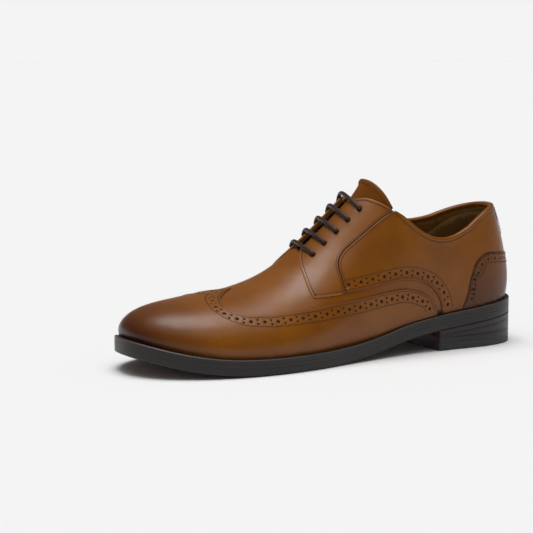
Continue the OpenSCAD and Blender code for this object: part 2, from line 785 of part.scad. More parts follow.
// ---- Tongue ----
// It hangs under the facings, and comes up to the vamp at its base and to the topline at its end.
// These lists are over its length, 0 at the base and 1 at the end.
tongue_depth = [
    [0, tongue_out + 1.6], [0.2, tongue_out], [0.8, tongue_out],
    [0.9, tongue_out + 1.6], [1, tongue_out + 4.2]
];
tongue_half = [[0, 25], [0.3, 32], [0.6, 36], [0.8, 40], [0.92, 46], [1, 48]];
// How far its middle stands up between the facings, and how wide that crown is
tongue_crown = [[0, 3], [0.1, 3.5], [0.8, 3.5], [0.9, 2.6], [1, 0]];
crown_half = 13;
// How far its end bulges up
tongue_swell = 2.6;
swell_from = 0.8;
tongue_base = 172;
tongue_top = 113.5;
tongue_droop = 7.3;
droop_at = 47;
tongue_rows = 14;
tongue_half_cols = 9;
tongue_cells = [for (k = [0:tongue_rows], col = [-tongue_half_cols:tongue_half_cols])
    [k / tongue_rows, col / tongue_half_cols]];
function on_tongue(cell) =
    let (
        around = curve(tongue_half, cell[0]) * cell[1],
        end_x = tongue_top - tongue_droop * (around / droop_at) ^ 2
    )
    [mix(tongue_base, end_x, cell[0]), around];
function tongue_rise(cell) =
    let (
        t = cell[0],
        off = min(1, abs(on_tongue(cell)[1]) / crown_half),
        bulge = (max(0, t - swell_from) / (1 - swell_from)) ^ 2 * (1 - cell[1] ^ 2)
    )
    curve(tongue_depth, t) + curve(tongue_crown, t) * cos(90 * off) ^ 2 + tongue_swell * bulge;
module tongue_sheet(drop, thick) {
    cols = 2 * tongue_half_cols + 1;
    grid = [for (k = [0:tongue_rows]) [for (col = [0:cols - 1]) on_tongue(tongue_cells[k * cols + col])]];
    tops = [for (cell = tongue_cells) tongue_rise(cell) - drop];
    sheet_over(grid, [for (h = tops) h - thick], tops);
}
module tongue() {
    color("#8e5f26") tongue_sheet(0, leather_t);
}
module tongue_lining() {
    color("burlywood") tongue_sheet(leather_t + 2.5 * layer_gap, lining_t);
}

// ---- Lace ----
// Middle of the lace where it comes up through an eyelet, from under the lining to over the facing
function through(side, row) =
    let (
        c = eyelet(side, row),
        n = last_normal(c),
        p = on_last(c),
        inward = unit(on_last([c.x, c.y - side * 3]) - p)
    )
    [put(p + n * lace_low), put(p + n * (flange_out - 0.2)), put(p + n * (over_out + 0.2)),
        put(p + n * lace_high + inward * 1.8)];
// Middle of the lace where a bar passes over the throat's edge
function over_edge(side, row) =
    let (throat = side > 0 ? throat_lateral : throat_medial)
    [put(raised([eyelet(side, row).x, side * throat], lace_high + 0.2))];
// One bar over a row of eyelets, from one side to the other
function bar(row, from) = concat(
    through(from, row), over_edge(from, row), over_edge(-from, row), reversed(through(-from, row)));
// Place under a facing beside an eyelet, where one hidden run passes another
function beside(side, row, shift) = [put(raised(eyelet(side, row) + [0, side * shift], lace_low))];
module lace() {
    route = concat(
        bar(3, 1), beside(-1, 2, -7),
        bar(1, -1),
        bar(0, 1), beside(-1, 1, 7),
        bar(2, -1), beside(1, 3, -7),
        bar(4, 1)
    );
    color("#2f2320") tube(route, lace_d);
}
// The two ends of the lace are tucked in: down the lining, then over the sock liner to the heel
down_lateral = [
    [137, 31], [137, 36], [136, 42], [134, 48], [132, 55], [130, 62], [128, 69], [127, 76], [126, 83]
];
down_medial = [
    [127, 31], [127, 36], [126, 42], [124, 48], [122, 55], [120, 62], [118, 69], [117, 76], [116, 83]
];
over_sock_lateral = [
    [-24.5, 29.5, 36], [-26.5, 28, 29.5], [-30, 24.5, 25], [-36, 20, 24], [-44, 15, 25.6], [-53, 11, 27.2],
    [-63, 9.5, 28.6], [-72, 11, 29.8], [-81, 13, 31.4]
];
over_sock_medial = [
    [-34.5, -22, 39.5], [-36.5, -21, 31.5], [-40.5, -19, 27], [-47, -16.5, 26.4], [-56, -13, 27.6],
    [-66, -11.5, 29], [-76, -13, 30.4], [-84, -15, 32]
];
function tail_route(side, row, down, over_sock) = concat(
    [through(side, row)[0]],
    [for (c = down) put(raised([c.x, side * c.y], lace_low + 0.2))],
    over_sock
);
tail_lateral_route = tail_route(1, 3, down_lateral, over_sock_lateral);
tail_medial_route = tail_route(-1, 4, down_medial, over_sock_medial);
aglet_length = 20;
module lace_tail_lateral() {
    color("#2f2320") tube(tail_lateral_route, lace_d);
}
module lace_tail_medial() {
    color("#2f2320") tube(tail_medial_route, lace_d);
}
module aglet(route) {
    n = len(route);
    way = unit(route[n - 1] - route[n - 2]);
    translate(route[n - 1])
        rotate([0, acos(way.z), atan2(way.y, way.x)])
            cylinder(r = lace_d / 2 - 0.1, h = aglet_length, $fn = 24);
}
module aglet_lateral() {
    color("#4a3a30") aglet(tail_lateral_route);
}
module aglet_medial() {
    color("#4a3a30") aglet(tail_medial_route);
}

heel_top_piece();
heel_nails();
heel_lift_1();
heel_lift_2();
heel_lift_3();
outsole();
midsole();
welt();
heel_rand();
insole_rib();
cork_filler();
shank();
insole();
heel_pad();
sock_liner();
wing_cap();
vamp();
lateral_quarter();
medial_quarter();
lateral_facing();
medial_facing();
counter_cover();
back_tab();
topline_binding();
toe_puff();
heel_stiffener();
lateral_stay();
medial_stay();
vamp_lining();
lateral_lining();
medial_lining();
heel_grip();
tongue();
tongue_lining();
lateral_eyelets();
medial_eyelets();
lace();
lace_tail_lateral();
lace_tail_medial();
aglet_lateral();
aglet_medial();
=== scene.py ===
import math

import bpy
import numpy as np
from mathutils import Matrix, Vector
from mathutils.geometry import delaunay_2d_cdt
from mathutils.kdtree import KDTree


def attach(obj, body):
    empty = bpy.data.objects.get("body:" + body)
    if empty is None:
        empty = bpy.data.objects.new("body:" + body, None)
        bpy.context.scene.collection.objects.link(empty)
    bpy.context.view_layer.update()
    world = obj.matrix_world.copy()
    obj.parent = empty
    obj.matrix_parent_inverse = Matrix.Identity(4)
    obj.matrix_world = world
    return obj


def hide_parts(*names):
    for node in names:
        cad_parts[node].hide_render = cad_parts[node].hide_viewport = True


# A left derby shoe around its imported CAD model. The drawing units are millimetres in the shoemaker's
# own frame, with the heel's back at x = 0; put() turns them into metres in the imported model's frame.
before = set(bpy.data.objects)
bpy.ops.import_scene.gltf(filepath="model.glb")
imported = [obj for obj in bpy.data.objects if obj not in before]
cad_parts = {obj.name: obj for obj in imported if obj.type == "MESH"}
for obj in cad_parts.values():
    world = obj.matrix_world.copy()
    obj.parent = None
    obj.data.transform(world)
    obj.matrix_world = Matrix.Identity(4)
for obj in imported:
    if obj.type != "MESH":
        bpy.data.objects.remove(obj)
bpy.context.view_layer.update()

# ---- Curves ----


def curve(tab, x, flat=False):
    """Smooth value at x of a table of (x, value) pairs."""
    xs, ys = np.array(tab, float).T
    h = np.diff(xs)
    d = np.diff(ys) / h
    m = np.r_[0 if flat else d[0], (d[:-1] * h[1:] + d[1:] * h[:-1]) / (h[1:] + h[:-1]), 0 if flat else d[-1]]
    x = np.clip(x, xs[0], xs[-1])
    i = np.clip(np.searchsorted(xs, x, side="right") - 1, 0, len(xs) - 2)
    t = (x - xs[i]) / h[i]
    return (ys[i] * (2 * t**3 - 3 * t**2 + 1) + m[i] * h[i] * (t**3 - 2 * t**2 + t)
            + ys[i + 1] * (3 * t**2 - 2 * t**3) + m[i + 1] * h[i] * (t**3 - t**2))


def spline(p, steps=8):
    """Smooth line through the points."""
    p = np.array(p, float)
    n = len(p)
    out = []
    for i in range(n - 1):
        a, b, c, d = p[max(i - 1, 0)], p[i], p[i + 1], p[min(i + 2, n - 1)]
        for t in np.arange(steps) / steps:
            out.append(0.5 * (2 * b + (c - a) * t + (2 * a - 5 * b + 4 * c - d) * t**2
                              + (3 * b - 3 * c + d - a) * t**3))
    return np.array(out + [p[-1]])


def unit(v):
    return v / np.maximum(np.linalg.norm(v, axis=-1, keepdims=True), 1e-12)


def run(p):
    return np.r_[0, np.cumsum(np.linalg.norm(np.diff(p, axis=0), axis=1))]


def at(p, s, places):
    """Points of the line p at these distances along it; s is the distance at each point of p."""
    return np.stack([np.interp(places, s, p[:, k]) for k in range(p.shape[1])], -1)


def join(*lines):
    """Lines end to end, with a shared point only once."""
    out = [np.array(lines[0], float)]
    for line in lines[1:]:
        line = np.array(line, float)
        out.append(line[1:] if np.allclose(line[0], out[-1][-1]) else line)
    return np.vstack(out)


# ---- The last, as in the CAD model: a place on it is (along, around) ----
HEEL_X, TOE_X, LENGTH, MIDDLE_Y = 45.0, 213.0, 300.0, 0.75
BREAST_X, BREAST_H, HEEL_PITCH = 75.0, 14.0, 8.0
OUTSOLE_T, MIDSOLE_T, WELT_T = 5.0, 2.6, 3.0
SEAT_T = OUTSOLE_T + MIDSOLE_T + WELT_T
UNDERSIDE = [(75, 14), (100, 10.5), (125, 5.04), (150, 1.45), (170, 0.3), (197, 0), (225, 0.3), (250, 1.85),
             (275, 6), (300, 12.5)]
SOLE_LATERAL = [(45, 33), (75, 33), (110, 36), (150, 43.5), (185, 51), (213, 53.5)]
SOLE_MEDIAL = [(45, 32.5), (75, 31.5), (110, 30), (150, 36), (185, 46), (213, 52)]
FEATHER_LATERAL = [(45, 31.5), (75, 31), (110, 33), (150, 39), (185, 46.5), (213, 49)]
FEATHER_MEDIAL = [(45, 31), (75, 29.5), (110, 27), (150, 32.5), (185, 42.5), (213, 48)]
FEATHER_TOE, FEATHER_BACK, FEATHER_GAP = 294.5, 1.0, 0.15
HEEL_POWER = 2.4
TOE_POWER_LATERAL, TOE_POWER_SOLE, TOE_POWER_FEATHER = 2.05, 2.3, 2.35
CROWN = [(0, 150), (45, 150), (90, 139), (120, 113), (150, 85), (180, 62.5), (213, 50.5), (250, 46.5),
         (300, 50)]
FULLNESS = [(0, 1.6), (45, 1.75), (80, 2), (110, 2.35), (150, 2.25), (185, 2.1), (213, 2.1), (250, 2.25),
            (300, 2.5)]
SWELL = [(0, 0.07), (75, 0.05), (110, 0.06), (150, 0.06), (213, 0.04), (260, 0.03), (300, 0.02)]
SWELL_AT = 0.28
RIDGE_Y = [(0, 0), (60, -1), (120, -8.5), (160, -11.5), (213, -4)]
HEEL_SINK = [(45, 2.5), (100, 0)]
HEEL_ARC = 52.0
BACK_S = HEEL_X - HEEL_ARC
TUCK = 0.5


def underside(x):
    return np.where(x < BREAST_X, BREAST_H + HEEL_PITCH * (BREAST_X - x) / BREAST_X, curve(UNDERSIDE, x))


def seat(x):
    return underside(x) + SEAT_T + FEATHER_GAP


def oval_reach(turn, long, wide, power):
    return (np.abs(np.cos(turn) / long) ** power + np.abs(np.sin(turn) / wide) ** power) ** (-1 / power)


def on_last(c):
    c = np.asarray(c, float)
    cx, cy = c[..., 0], c[..., 1]
    base = np.clip(cx, HEEL_X, TOE_X)
    dx = cx - base
    v = np.hypot(dx, cy)
    ry = curve(RIDGE_Y, base, True)
    w = np.where(cy >= 0, curve(FEATHER_LATERAL, base, True) - ry, curve(FEATHER_MEDIAL, base, True) + ry)
    long = np.where(dx > 0, FEATHER_TOE - TOE_X, HEEL_X - FEATHER_BACK)
    power = np.where(dx <= 0, HEEL_POWER, np.where(cy >= 0, TOE_POWER_LATERAL, TOE_POWER_FEATHER))
    reach = np.where(dx == 0, w, oval_reach(np.arctan2(np.abs(cy), np.abs(dx)), long, w, power))
    safe = np.maximum(v, 1e-9)
    ux, uy = np.where(v > 0, dx / safe, 0), np.where(v > 0, cy / safe, 1)
    foot_x = base + reach * ux
    full = 2 / curve(FULLNESS, foot_x)
    rise = np.clip(1 - v / 100, 0, 1) * math.pi / 2
    b = np.sin(rise) ** full
    swell = 1 + curve(SWELL, foot_x) * b / SWELL_AT * np.exp(1 - b / SWELL_AT)
    a = np.maximum(np.cos(rise), 0) ** full * swell
    x = base + reach * ux * a
    floor = seat(foot_x)
    z = floor + (curve(CROWN, x) - floor) * b - TUCK * np.maximum(v - 100, 0)
    return np.stack([x, ry + reach * uy * a, z], -1)


def last_normal(c, e=0.25, rim=99.6):
    c = np.array(c, float)
    base = np.clip(c[..., 0], HEEL_X, TOE_X)
    v = np.hypot(c[..., 0] - base, c[..., 1])
    k = np.minimum(1, rim / np.maximum(v, 1e-9))
    c = np.stack([base + (c[..., 0] - base) * k, c[..., 1] * k], -1)
    dx = on_last(c + [e, 0]) - on_last(c - [e, 0])
    dy = on_last(c + [0, e]) - on_last(c - [0, e])
    return unit(np.cross(dx, dy))


def raised(c, h):
    """Point at a height over the last's surface."""
    c = np.asarray(c, float)
    sunk = curve(HEEL_SINK, c[..., 0], True)
    return on_last(c) + last_normal(c) * np.broadcast_to(np.asarray(h, float) - sunk, c.shape[:-1])[..., None]


def spot(s, z, side=1):
    """Place on the last from the unrolled side view: s along it and round the heel, z over the ground."""
    s, z = np.asarray(s, float), np.asarray(z, float)
    turn = math.pi / 2 * (1 - np.maximum(0, HEEL_X - s) / HEEL_ARC)
    w = (FEATHER_LATERAL if side > 0 else FEATHER_MEDIAL)[0][1]
    round_x = HEEL_X - oval_reach(turn, HEEL_X - FEATHER_BACK, w, HEEL_POWER) * np.cos(turn)
    foot_x = np.where(s >= HEEL_X, s, round_x)
    floor = seat(foot_x)
    b = np.clip((z - floor) / (curve(CROWN, np.maximum(s, HEEL_X)) - floor), 0, 1)
    v = 100 * (1 - np.arcsin(b ** (curve(FULLNESS, foot_x) / 2)) * 2 / math.pi)
    return np.stack([np.where(s >= HEEL_X, s, HEEL_X - v * np.cos(turn)),
                     side * np.where(s >= HEEL_X, v, v * np.sin(turn))], -1)


def drawn(line, side=1):
    p = spline(line)
    return spot(p[:, 0], p[:, 1], side)


def put(p):
    return (np.asarray(p, float) - [LENGTH / 2, MIDDLE_Y, 0]) / 1000


def sided(line, side):
    return np.asarray(line, float) * [1, side]


def whole(half):
    """A line that ends on the ridge, and its mirror image back."""
    return join(half, sided(half, -1)[::-1])


def rim(center, start, end, v, steps=60):
    a = np.radians(np.linspace(start, end, steps))
    sign = 1 if center == TOE_X else -1
    return np.stack([center + sign * v * np.cos(a), v * np.sin(a)], -1)


def metric(c, h=0.0, e=0.3):
    """Steps on the surface, in mm, for one unit along and one unit around."""
    c = np.asarray(c, float)
    return ((raised(c + [e, 0], h) - raised(c - [e, 0], h)) / (2 * e),
            (raised(c + [0, e], h) - raised(c - [0, e], h)) / (2 * e))


def chart_step(c, way):
    """The step in (along, around) that makes this step on the surface."""
    jx, jy = metric(c)
    a, b, d = (jx * jx).sum(-1), (jx * jy).sum(-1), (jy * jy).sum(-1)
    p, q = (jx * way).sum(-1), (jy * way).sum(-1)
    det = a * d - b * b
    return np.stack([(d * p - b * q) / det, (a * q - b * p) / det], -1)


def beside(line, gap):
    """The line moved gap mm to its right, seen from outside."""
    line = np.asarray(line, float)
    p = raised(line, 0)
    t = unit(np.gradient(p, axis=0))
    return line + chart_step(line, np.cross(t, last_normal(line)) * np.broadcast_to(gap, len(line))[:, None])


def spaced(line, gap, start=0.0, end=0.0, h=0.0):
    """Places along the line, about gap mm apart on the surface."""
    p = raised(line, h)
    s = run(p)
    n = max(1, round((s[-1] - start - end) / gap))
    return at(np.asarray(line, float), s, np.linspace(start, s[-1] - end, n + 1))


def disc(c, r, steps):
    """A round loop of r mm on the surface."""
    jx, jy = metric(c)
    e1 = unit(jx)
    e2 = unit(jy - e1 * (e1 * jy).sum())
    turn = np.linspace(0, 2 * math.pi, steps, endpoint=False)[:, None]
    return np.asarray(c) + chart_step(np.broadcast_to(c, (steps, 2)),
                                      r * (np.cos(turn) * e1 + np.sin(turn) * e2))


# ---- Camera ----
CAMERA_TURN, CAMERA_RISE, CAMERA_AWAY = math.radians(30.8), math.radians(8.25), 1.1
CAMERA_AIM = Vector((0, -0.00075, 0.045))
AIM_RIGHT, AIM_UP, FOCAL = 0.03456, -0.01358, 1.0
IMAGE_WIDTH_OVER_FOCAL = 0.33147
SENSOR = 36.0


def add_camera():
    """A level camera that sees the aim point a little right of and under the picture's middle."""
    back = Vector((math.sin(CAMERA_TURN) * math.cos(CAMERA_RISE),
                   math.cos(CAMERA_TURN) * math.cos(CAMERA_RISE), math.sin(CAMERA_RISE)))
    size = math.sqrt(AIM_RIGHT**2 + AIM_UP**2 + FOCAL**2)
    right, up, ahead = AIM_RIGHT / size, AIM_UP / size, FOCAL / size
    pitch = math.asin(-back.z / math.hypot(up, ahead)) - math.atan2(up, ahead)
    off = math.atan2(right, ahead * math.cos(pitch) - up * math.sin(pitch))
    heading = math.atan2(-back.y, -back.x) + off
    look = Vector((math.cos(heading) * math.cos(pitch), math.sin(heading) * math.cos(pitch), math.sin(pitch)))
    data = bpy.data.cameras.new("camera")
    camera = bpy.data.objects.new("camera", data)
    bpy.context.scene.collection.objects.link(camera)
    camera.location = CAMERA_AIM + back * CAMERA_AWAY
    camera.rotation_euler = look.to_track_quat("-Z", "Y").to_euler()
    data.sensor_width = SENSOR
    data.lens = SENSOR / IMAGE_WIDTH_OVER_FOCAL
    data.clip_start, data.clip_end = 0.02, 60
    bpy.context.scene.camera = camera


add_camera()

# ---- Meshes ----


def add_mesh(name, verts, faces, materials, marks=None, face_material=None):
    """verts in mm in the drawing frame; marks are named values per vertex."""
    mesh = bpy.data.meshes.new(name)
    mesh.from_pydata(put(verts).tolist(), [], [list(f) for f in faces])
    mesh.polygons.foreach_set("use_smooth", np.ones(len(mesh.polygons), bool))
    for m in materials:
        mesh.materials.append(m)
    if face_material is not None:
        mesh.polygons.foreach_set("material_index", np.asarray(face_material, np.int32))
    for key, values in (marks or {}).items():
        mesh.attributes.new(key, "FLOAT", "POINT").data.foreach_set("value", np.asarray(values, np.float32))
    mesh.update()
    obj = bpy.data.objects.new(name, mesh)
    bpy.context.scene.collection.objects.link(obj)
    return obj


def finish_piece(obj, slot, *nodes, body="shoe"):
    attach(obj, body)
    if nodes:
        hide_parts(*nodes)
    return obj


def ring_faces(rings, sides):
    """Quads between closed rings of points that follow each other."""
    i, k = np.meshgrid(np.arange(rings - 1), np.arange(sides), indexing="ij")
    a, b = i * sides + k, i * sides + (k + 1) % sides
    return np.stack([a, b, b + sides, a + sides], -1).reshape(-1, 4)


def tube_faces(rings, sides):
    """The same quads, and a cap at each end."""
    ends = [list(range(sides))[::-1], list(range((rings - 1) * sides, rings * sides))]
    return ring_faces(rings, sides).tolist() + ends


def tube(name, points, r, sides, material, wobble=None):
    """Round tube along points in mm."""
    p = np.asarray(points, float)
    n = len(p)
    ways = unit(np.gradient(p, axis=0))
    side = np.empty_like(p)
    u = unit(np.cross(ways[0], [0, 0, 1] if abs(ways[0][2]) < 0.8 else [1, 0, 0]))
    for i in range(n):
        u = unit(u - (u @ ways[i]) * ways[i])
        side[i] = u
    other = np.cross(ways, side)
    turn = np.arange(sides) * 2 * math.pi / sides
    radius = np.broadcast_to(r, n)[:, None, None] * np.ones((n, sides, 1))
    if wobble is not None:
        radius = radius * wobble(np.arange(n)[:, None], turn[None, :])[..., None]
    ring = p[:, None] + radius * (np.cos(turn)[None, :, None] * side[:, None]
                                  + np.sin(turn)[None, :, None] * other[:, None])
    return add_mesh(name, ring.reshape(-1, 3), tube_faces(n, sides), [material])


def inside(points, loop):
    a, b = loop, np.roll(loop, -1, 0)
    out = np.zeros(len(points), bool)
    for k in range(0, len(points), 4000):
        x, y = points[k:k + 4000, 0:1], points[k:k + 4000, 1:2]
        cross = (a[:, 1] > y) != (b[:, 1] > y)
        with np.errstate(divide="ignore", invalid="ignore"):
            left = x < (b[:, 0] - a[:, 0]) * (y - a[:, 1]) / (b[:, 1] - a[:, 1]) + a[:, 0]
        out[k:k + 4000] = (cross & left).sum(1) % 2 == 1
    return out


def to_left(loop):
    """The loop, turning left."""
    x, y = loop.T
    area = (x * np.roll(y, -1) - y * np.roll(x, -1)).sum()
    return loop if area > 0 else loop[::-1]


def distances(loop, points):
    """How far each point of a flat chart is from the nearest point of the loop."""
    tree = KDTree(len(loop))
    for k, q in enumerate(loop):
        tree.insert((q[0], q[1], 0), k)
    tree.balance()
    return np.array([tree.find((q[0], q[1], 0))[2] for q in points])


# Edges of a sheet: (how far in from the outline, how far under the top), in mm
FOLDED = [(1.5, 0), (1.0, -0.1), (0.55, -0.08), (0.2, 0.1), (0.03, 0.4), (0, 0.7)]
CUT = [(0.3, 0), (0.1, 0.07), (0, 0.3)]
PIT = [(0.22, 0), (0.07, 0.05), (0, 0.2), (0, 0.62)]
HOLE = [(0.3, 0), (0.1, 0.08), (0, 0.3)]
# How far the inner points of a sheet stay from its outline (mm) and from its pits (in grid steps)
EDGE_ROOM, PIT_ROOM = 0.45, 0.45
# How far in from its edge a sheet gets a painted highlight where it is folded, and painted shade where it is
# cut
EDGE_HIGHLIGHT_REACH, EDGE_SHADE_REACH = 0.6, 0.35


def plate(name, outline, place, high, low, materials, edge=CUT, grid=(1.7, 2.1), pits=(), holes=(),
          marks=None, walls=()):
    """A closed sheet over an outline in a flat chart, which place(c, h) lays out in space.

    pits are loops sunk into its top, holes go through, and marks(c, p) gives named values for each vertex."""
    loops = [to_left(np.asarray(outline, float))] + [to_left(q) for q in holes] + [to_left(q) for q in pits]
    first_pit = 1 + len(holes)
    outer = loops[0]
    lo, hi = outer.min(0), outer.max(0)
    gx, gy = grid
    rows = np.arange(lo[1] + gy / 2, hi[1], gy)
    xs = [np.arange(lo[0] + (gx / 2 if k % 2 else gx), hi[0], gx) for k in range(len(rows))]
    inner = np.vstack([np.c_[x, np.full(len(x), y)] for x, y in zip(xs, rows)])
    inner = inner[inside(inner, outer)]
    flat = np.vstack(loops)
    scale = np.array([1, gx / gy])
    room = max(gx * 0.5, edge[0][0] + EDGE_ROOM)
    near, off = (distances(q * scale, inner * scale) for q in (flat, outer))
    inner = inner[(near > gx * PIT_ROOM) & (off > room)]
    for q in loops[1:]:
        box = (inner > q.min(0)).all(1) & (inner < q.max(0)).all(1)
        if box.any():
            idx = np.flatnonzero(box)
            inner = np.delete(inner, idx[inside(inner[idx], q)], axis=0)
    starts = np.cumsum([0] + [len(q) for q in loops])
    edges = [(int(s + k), int(s + (k + 1) % len(q))) for s, q in zip(starts, loops) for k in range(len(q))]
    points = np.vstack([flat, inner])
    coords, _, tris, origin, _, _ = delaunay_2d_cdt([Vector(q) for q in points], edges, [], 0, 1e-6)
    c = np.array([tuple(q) for q in coords])
    tris = np.array([t for t in tris if len(t) == 3])
    mid = c[tris].mean(1)
    keep = inside(mid, outer)
    kind = np.zeros(len(tris), int)
    for k, q in enumerate(loops[1:], 1):
        box = np.flatnonzero((mid > q.min(0)).all(1) & (mid < q.max(0)).all(1))
        if len(box):
            hit = box[inside(mid[box], q)]
            kind[hit] = 1 if k < first_pit else 2
    area = np.cross(c[tris[:, 1]] - c[tris[:, 0]], c[tris[:, 2]] - c[tris[:, 0]])
    tris[area < 0] = tris[area < 0][:, ::-1]
    top_t, pit_t = tris[keep & (kind == 0)], tris[keep & (kind == 2)]
    new = np.full(len(points), -1)
    for k, olds in enumerate(origin):
        for o in olds:
            new[o] = k
    hi_h, lo_h = (np.broadcast_to(f(c) if callable(f) else f, len(c)).astype(float) for f in (high, low))
    top, bottom = place(c, hi_h), place(c, lo_h)
    normal = unit(place(c, hi_h + 0.5) - place(c, hi_h))
    count = len(c)
    verts, faces, chart = [top, bottom], [top_t], [c, c]
    edge_off = [distances(outer * scale, c * scale)] * 2
    top_off = edge_off[0].copy()
    bottom_map = np.arange(count) + count
    pit_floor = np.arange(count)
    total = 2 * count
    for k, q in enumerate(loops):
        ids = new[starts[k]:starts[k + 1]]
        pit = k >= first_pit
        profile = list(edge if k == 0 else PIT if pit else HOLE)
        base = top[ids].copy()
        way = unit(np.roll(base, -1, 0) - np.roll(base, 1, 0))
        out = np.cross(way, normal[ids]) * (1 if k == 0 else -1)
        thick = (hi_h - lo_h)[ids]
        if not pit:
            profile += list(walls if k == 0 else ())
        rings = []
        for inset, drop in profile:
            rings.append(place(c[ids], hi_h[ids] - np.minimum(drop, thick - 0.02)) - out * inset)
        top[ids] = rings[0]
        levels = [ids]
        if k == 0:
            top_off[ids] = profile[0][0]
        for ring, (inset, drop) in zip(rings[1:], profile[1:]):
            verts.append(ring)
            chart.append(c[ids])
            edge_off.append(np.full(len(ids), inset + max(drop, 0)) if k == 0 else edge_off[1][ids])
            levels.append(np.arange(len(ids)) + total)
            total += len(ids)
        if pit:
            pit_floor[ids] = levels[-1]
        else:
            bottom[ids] = place(c[ids], lo_h[ids]) - out * profile[-1][0]
            levels.append(bottom_map[ids])
        for upper, lower in zip(levels[:-1], levels[1:]):
            a, b, d, e = upper, np.roll(upper, -1), np.roll(lower, -1), lower
            quads = np.stack([a, e, d, b], -1) if k == 0 else np.stack([a, b, d, e], -1)
            faces.append(quads)
    verts = np.vstack(verts)
    chart = np.vstack(chart)
    used = faces + [bottom_map[np.vstack([top_t, pit_t])][:, ::-1]]
    index = [0] * len(faces) + [2 if len(materials) > 2 else 0]
    # Pit floors take the second material, which on the upper is a near-black painted shade
    if len(pit_t):
        used.append(pit_floor[pit_t])
        index.append(1)
    all_faces, face_material = [], []
    for f, m in zip(used, index):
        all_faces += f.tolist()
        face_material += [m] * len(f)
    values = marks(chart, verts) if marks else {}
    far = np.concatenate([top_off] + edge_off[1:])
    # Painted highlight along folded edges and painted shade along the other edges, as vertex values for the
    # materials
    folded = values.pop("fold", np.zeros(len(verts)))
    values["light_edge"] = np.exp(-far / EDGE_HIGHLIGHT_REACH) * folded
    values["dark_edge"] = np.exp(-far / EDGE_SHADE_REACH) * (1 - folded)
    return add_mesh(name, verts, all_faces, materials, values, face_material)


# ---- Materials ----


class Nodes:
    """A node tree, with short ways to add to it."""

    def __init__(self, tree):
        self.new, self.link = tree.nodes.new, tree.links.new

    def place(self, node):
        """Feeds the node with the object's own coordinates, in metres."""
        self.link(self.new("ShaderNodeTexCoord").outputs["Object"], node.inputs["Vector"])
        return node

    def noise(self, scale, detail=4.0, rough=0.5):
        """Noise with this many features per metre."""
        node = self.place(self.new("ShaderNodeTexNoise"))
        for key, value in (("Scale", scale), ("Detail", detail), ("Roughness", rough)):
            node.inputs[key].default_value = value
        return node.outputs["Fac"]

    def cells(self, scale):
        node = self.place(self.new("ShaderNodeTexVoronoi"))
        node.feature = "SMOOTH_F1"
        node.inputs["Scale"].default_value = scale
        return node.outputs["Distance"]

    def mark(self, name):
        node = self.new("ShaderNodeAttribute")
        node.attribute_name = name
        return node.outputs["Fac"]

    def between(self, value, low, high, to_low=0, to_high=1):
        node = self.new("ShaderNodeMapRange")
        for key, v in (("From Min", low), ("From Max", high), ("To Min", to_low), ("To Max", to_high)):
            node.inputs[key].default_value = v
        self.link(value, node.inputs["Value"])
        return node.outputs["Result"]

    def blend(self, amount, a, b):
        """The colour a, turning to b as the amount goes from 0 to 1."""
        node = self.new("ShaderNodeMix")
        node.data_type = "RGBA"
        self.link(amount, node.inputs["Factor"])
        for key, value in (("A", a), ("B", b)):
            socket = [s for s in node.inputs if s.name == key and s.type == "RGBA"][0]
            if isinstance(value, tuple):
                socket.default_value = (*value, 1)
            else:
                self.link(value, socket)
        return [s for s in node.outputs if s.type == "RGBA"][0]


class Matter(Nodes):
    """A new material."""

    def __init__(self, name):
        self.material = bpy.data.materials.new(name)
        self.material.use_nodes = True
        super().__init__(self.material.node_tree)
        self.inputs = self.material.node_tree.nodes["Principled BSDF"].inputs

    def set(self, **values):
        """Puts an output or a number on each named input, with _ for a space."""
        for key, value in values.items():
            socket = self.inputs[key.replace("_", " ")]
            if isinstance(value, bpy.types.NodeSocket):
                self.link(value, socket)
            else:
                socket.default_value = value

    def bump(self, *parts):
        """parts: (height output, distance in mm, strength)."""
        last = None
        for height, depth, strength in parts:
            node = self.new("ShaderNodeBump")
            node.inputs["Strength"].default_value = strength
            node.inputs["Distance"].default_value = depth / 1000
            self.link(height, node.inputs["Height"])
            if last:
                self.link(last, node.inputs["Normal"])
            last = node.outputs["Normal"]
        self.link(last, self.inputs["Normal"])
        return self.material


def polished_leather(name, base, deep, burnt, light):
    """Smooth calf: mottled colour, burnt where the mark says so, painted shade along cut edges and a painted
    highlight on folded edges.
    """
    m = Matter(name)
    color = m.blend(m.between(m.noise(28, 5, 0.6), 0.3, 0.7), base, deep)
    color = m.blend(m.between(m.noise(420, 3), 0.35, 0.7, 0, 0.22), color, deep)
    color = m.blend(m.mark("burn"), color, burnt)
    # Painted shade along cut edges, then a painted highlight on folded edges
    dark = m.between(m.mark("dark_edge"), 0.08, 0.42, 0, 0.75)
    color = m.blend(dark, color, tuple(0.35 * v for v in burnt))
    color = m.blend(m.between(m.mark("light_edge"), 0.2, 0.6, 0, 0.6), color, light)
    m.set(Base_Color=color, Roughness=m.between(m.noise(90, 5), 0.3, 0.75, 0.3, 0.42), Coat_Weight=0.12,
          Coat_Roughness=0.22, Specular_IOR_Level=0.26)
    return m.bump((m.noise(42, 2), 0.9, 0.4), (m.cells(1500), 0.05, 0.3), (m.noise(240, 4), 0.1, 0.2))


def soft_leather(name, base, deep, rough=0.62, grain=1100):
    m = Matter(name)
    m.set(Base_Color=m.blend(m.between(m.noise(60, 6), 0.3, 0.7), base, deep), Roughness=rough)
    return m.bump((m.cells(grain), 0.06, 0.4), (m.noise(300, 4), 0.12, 0.3))


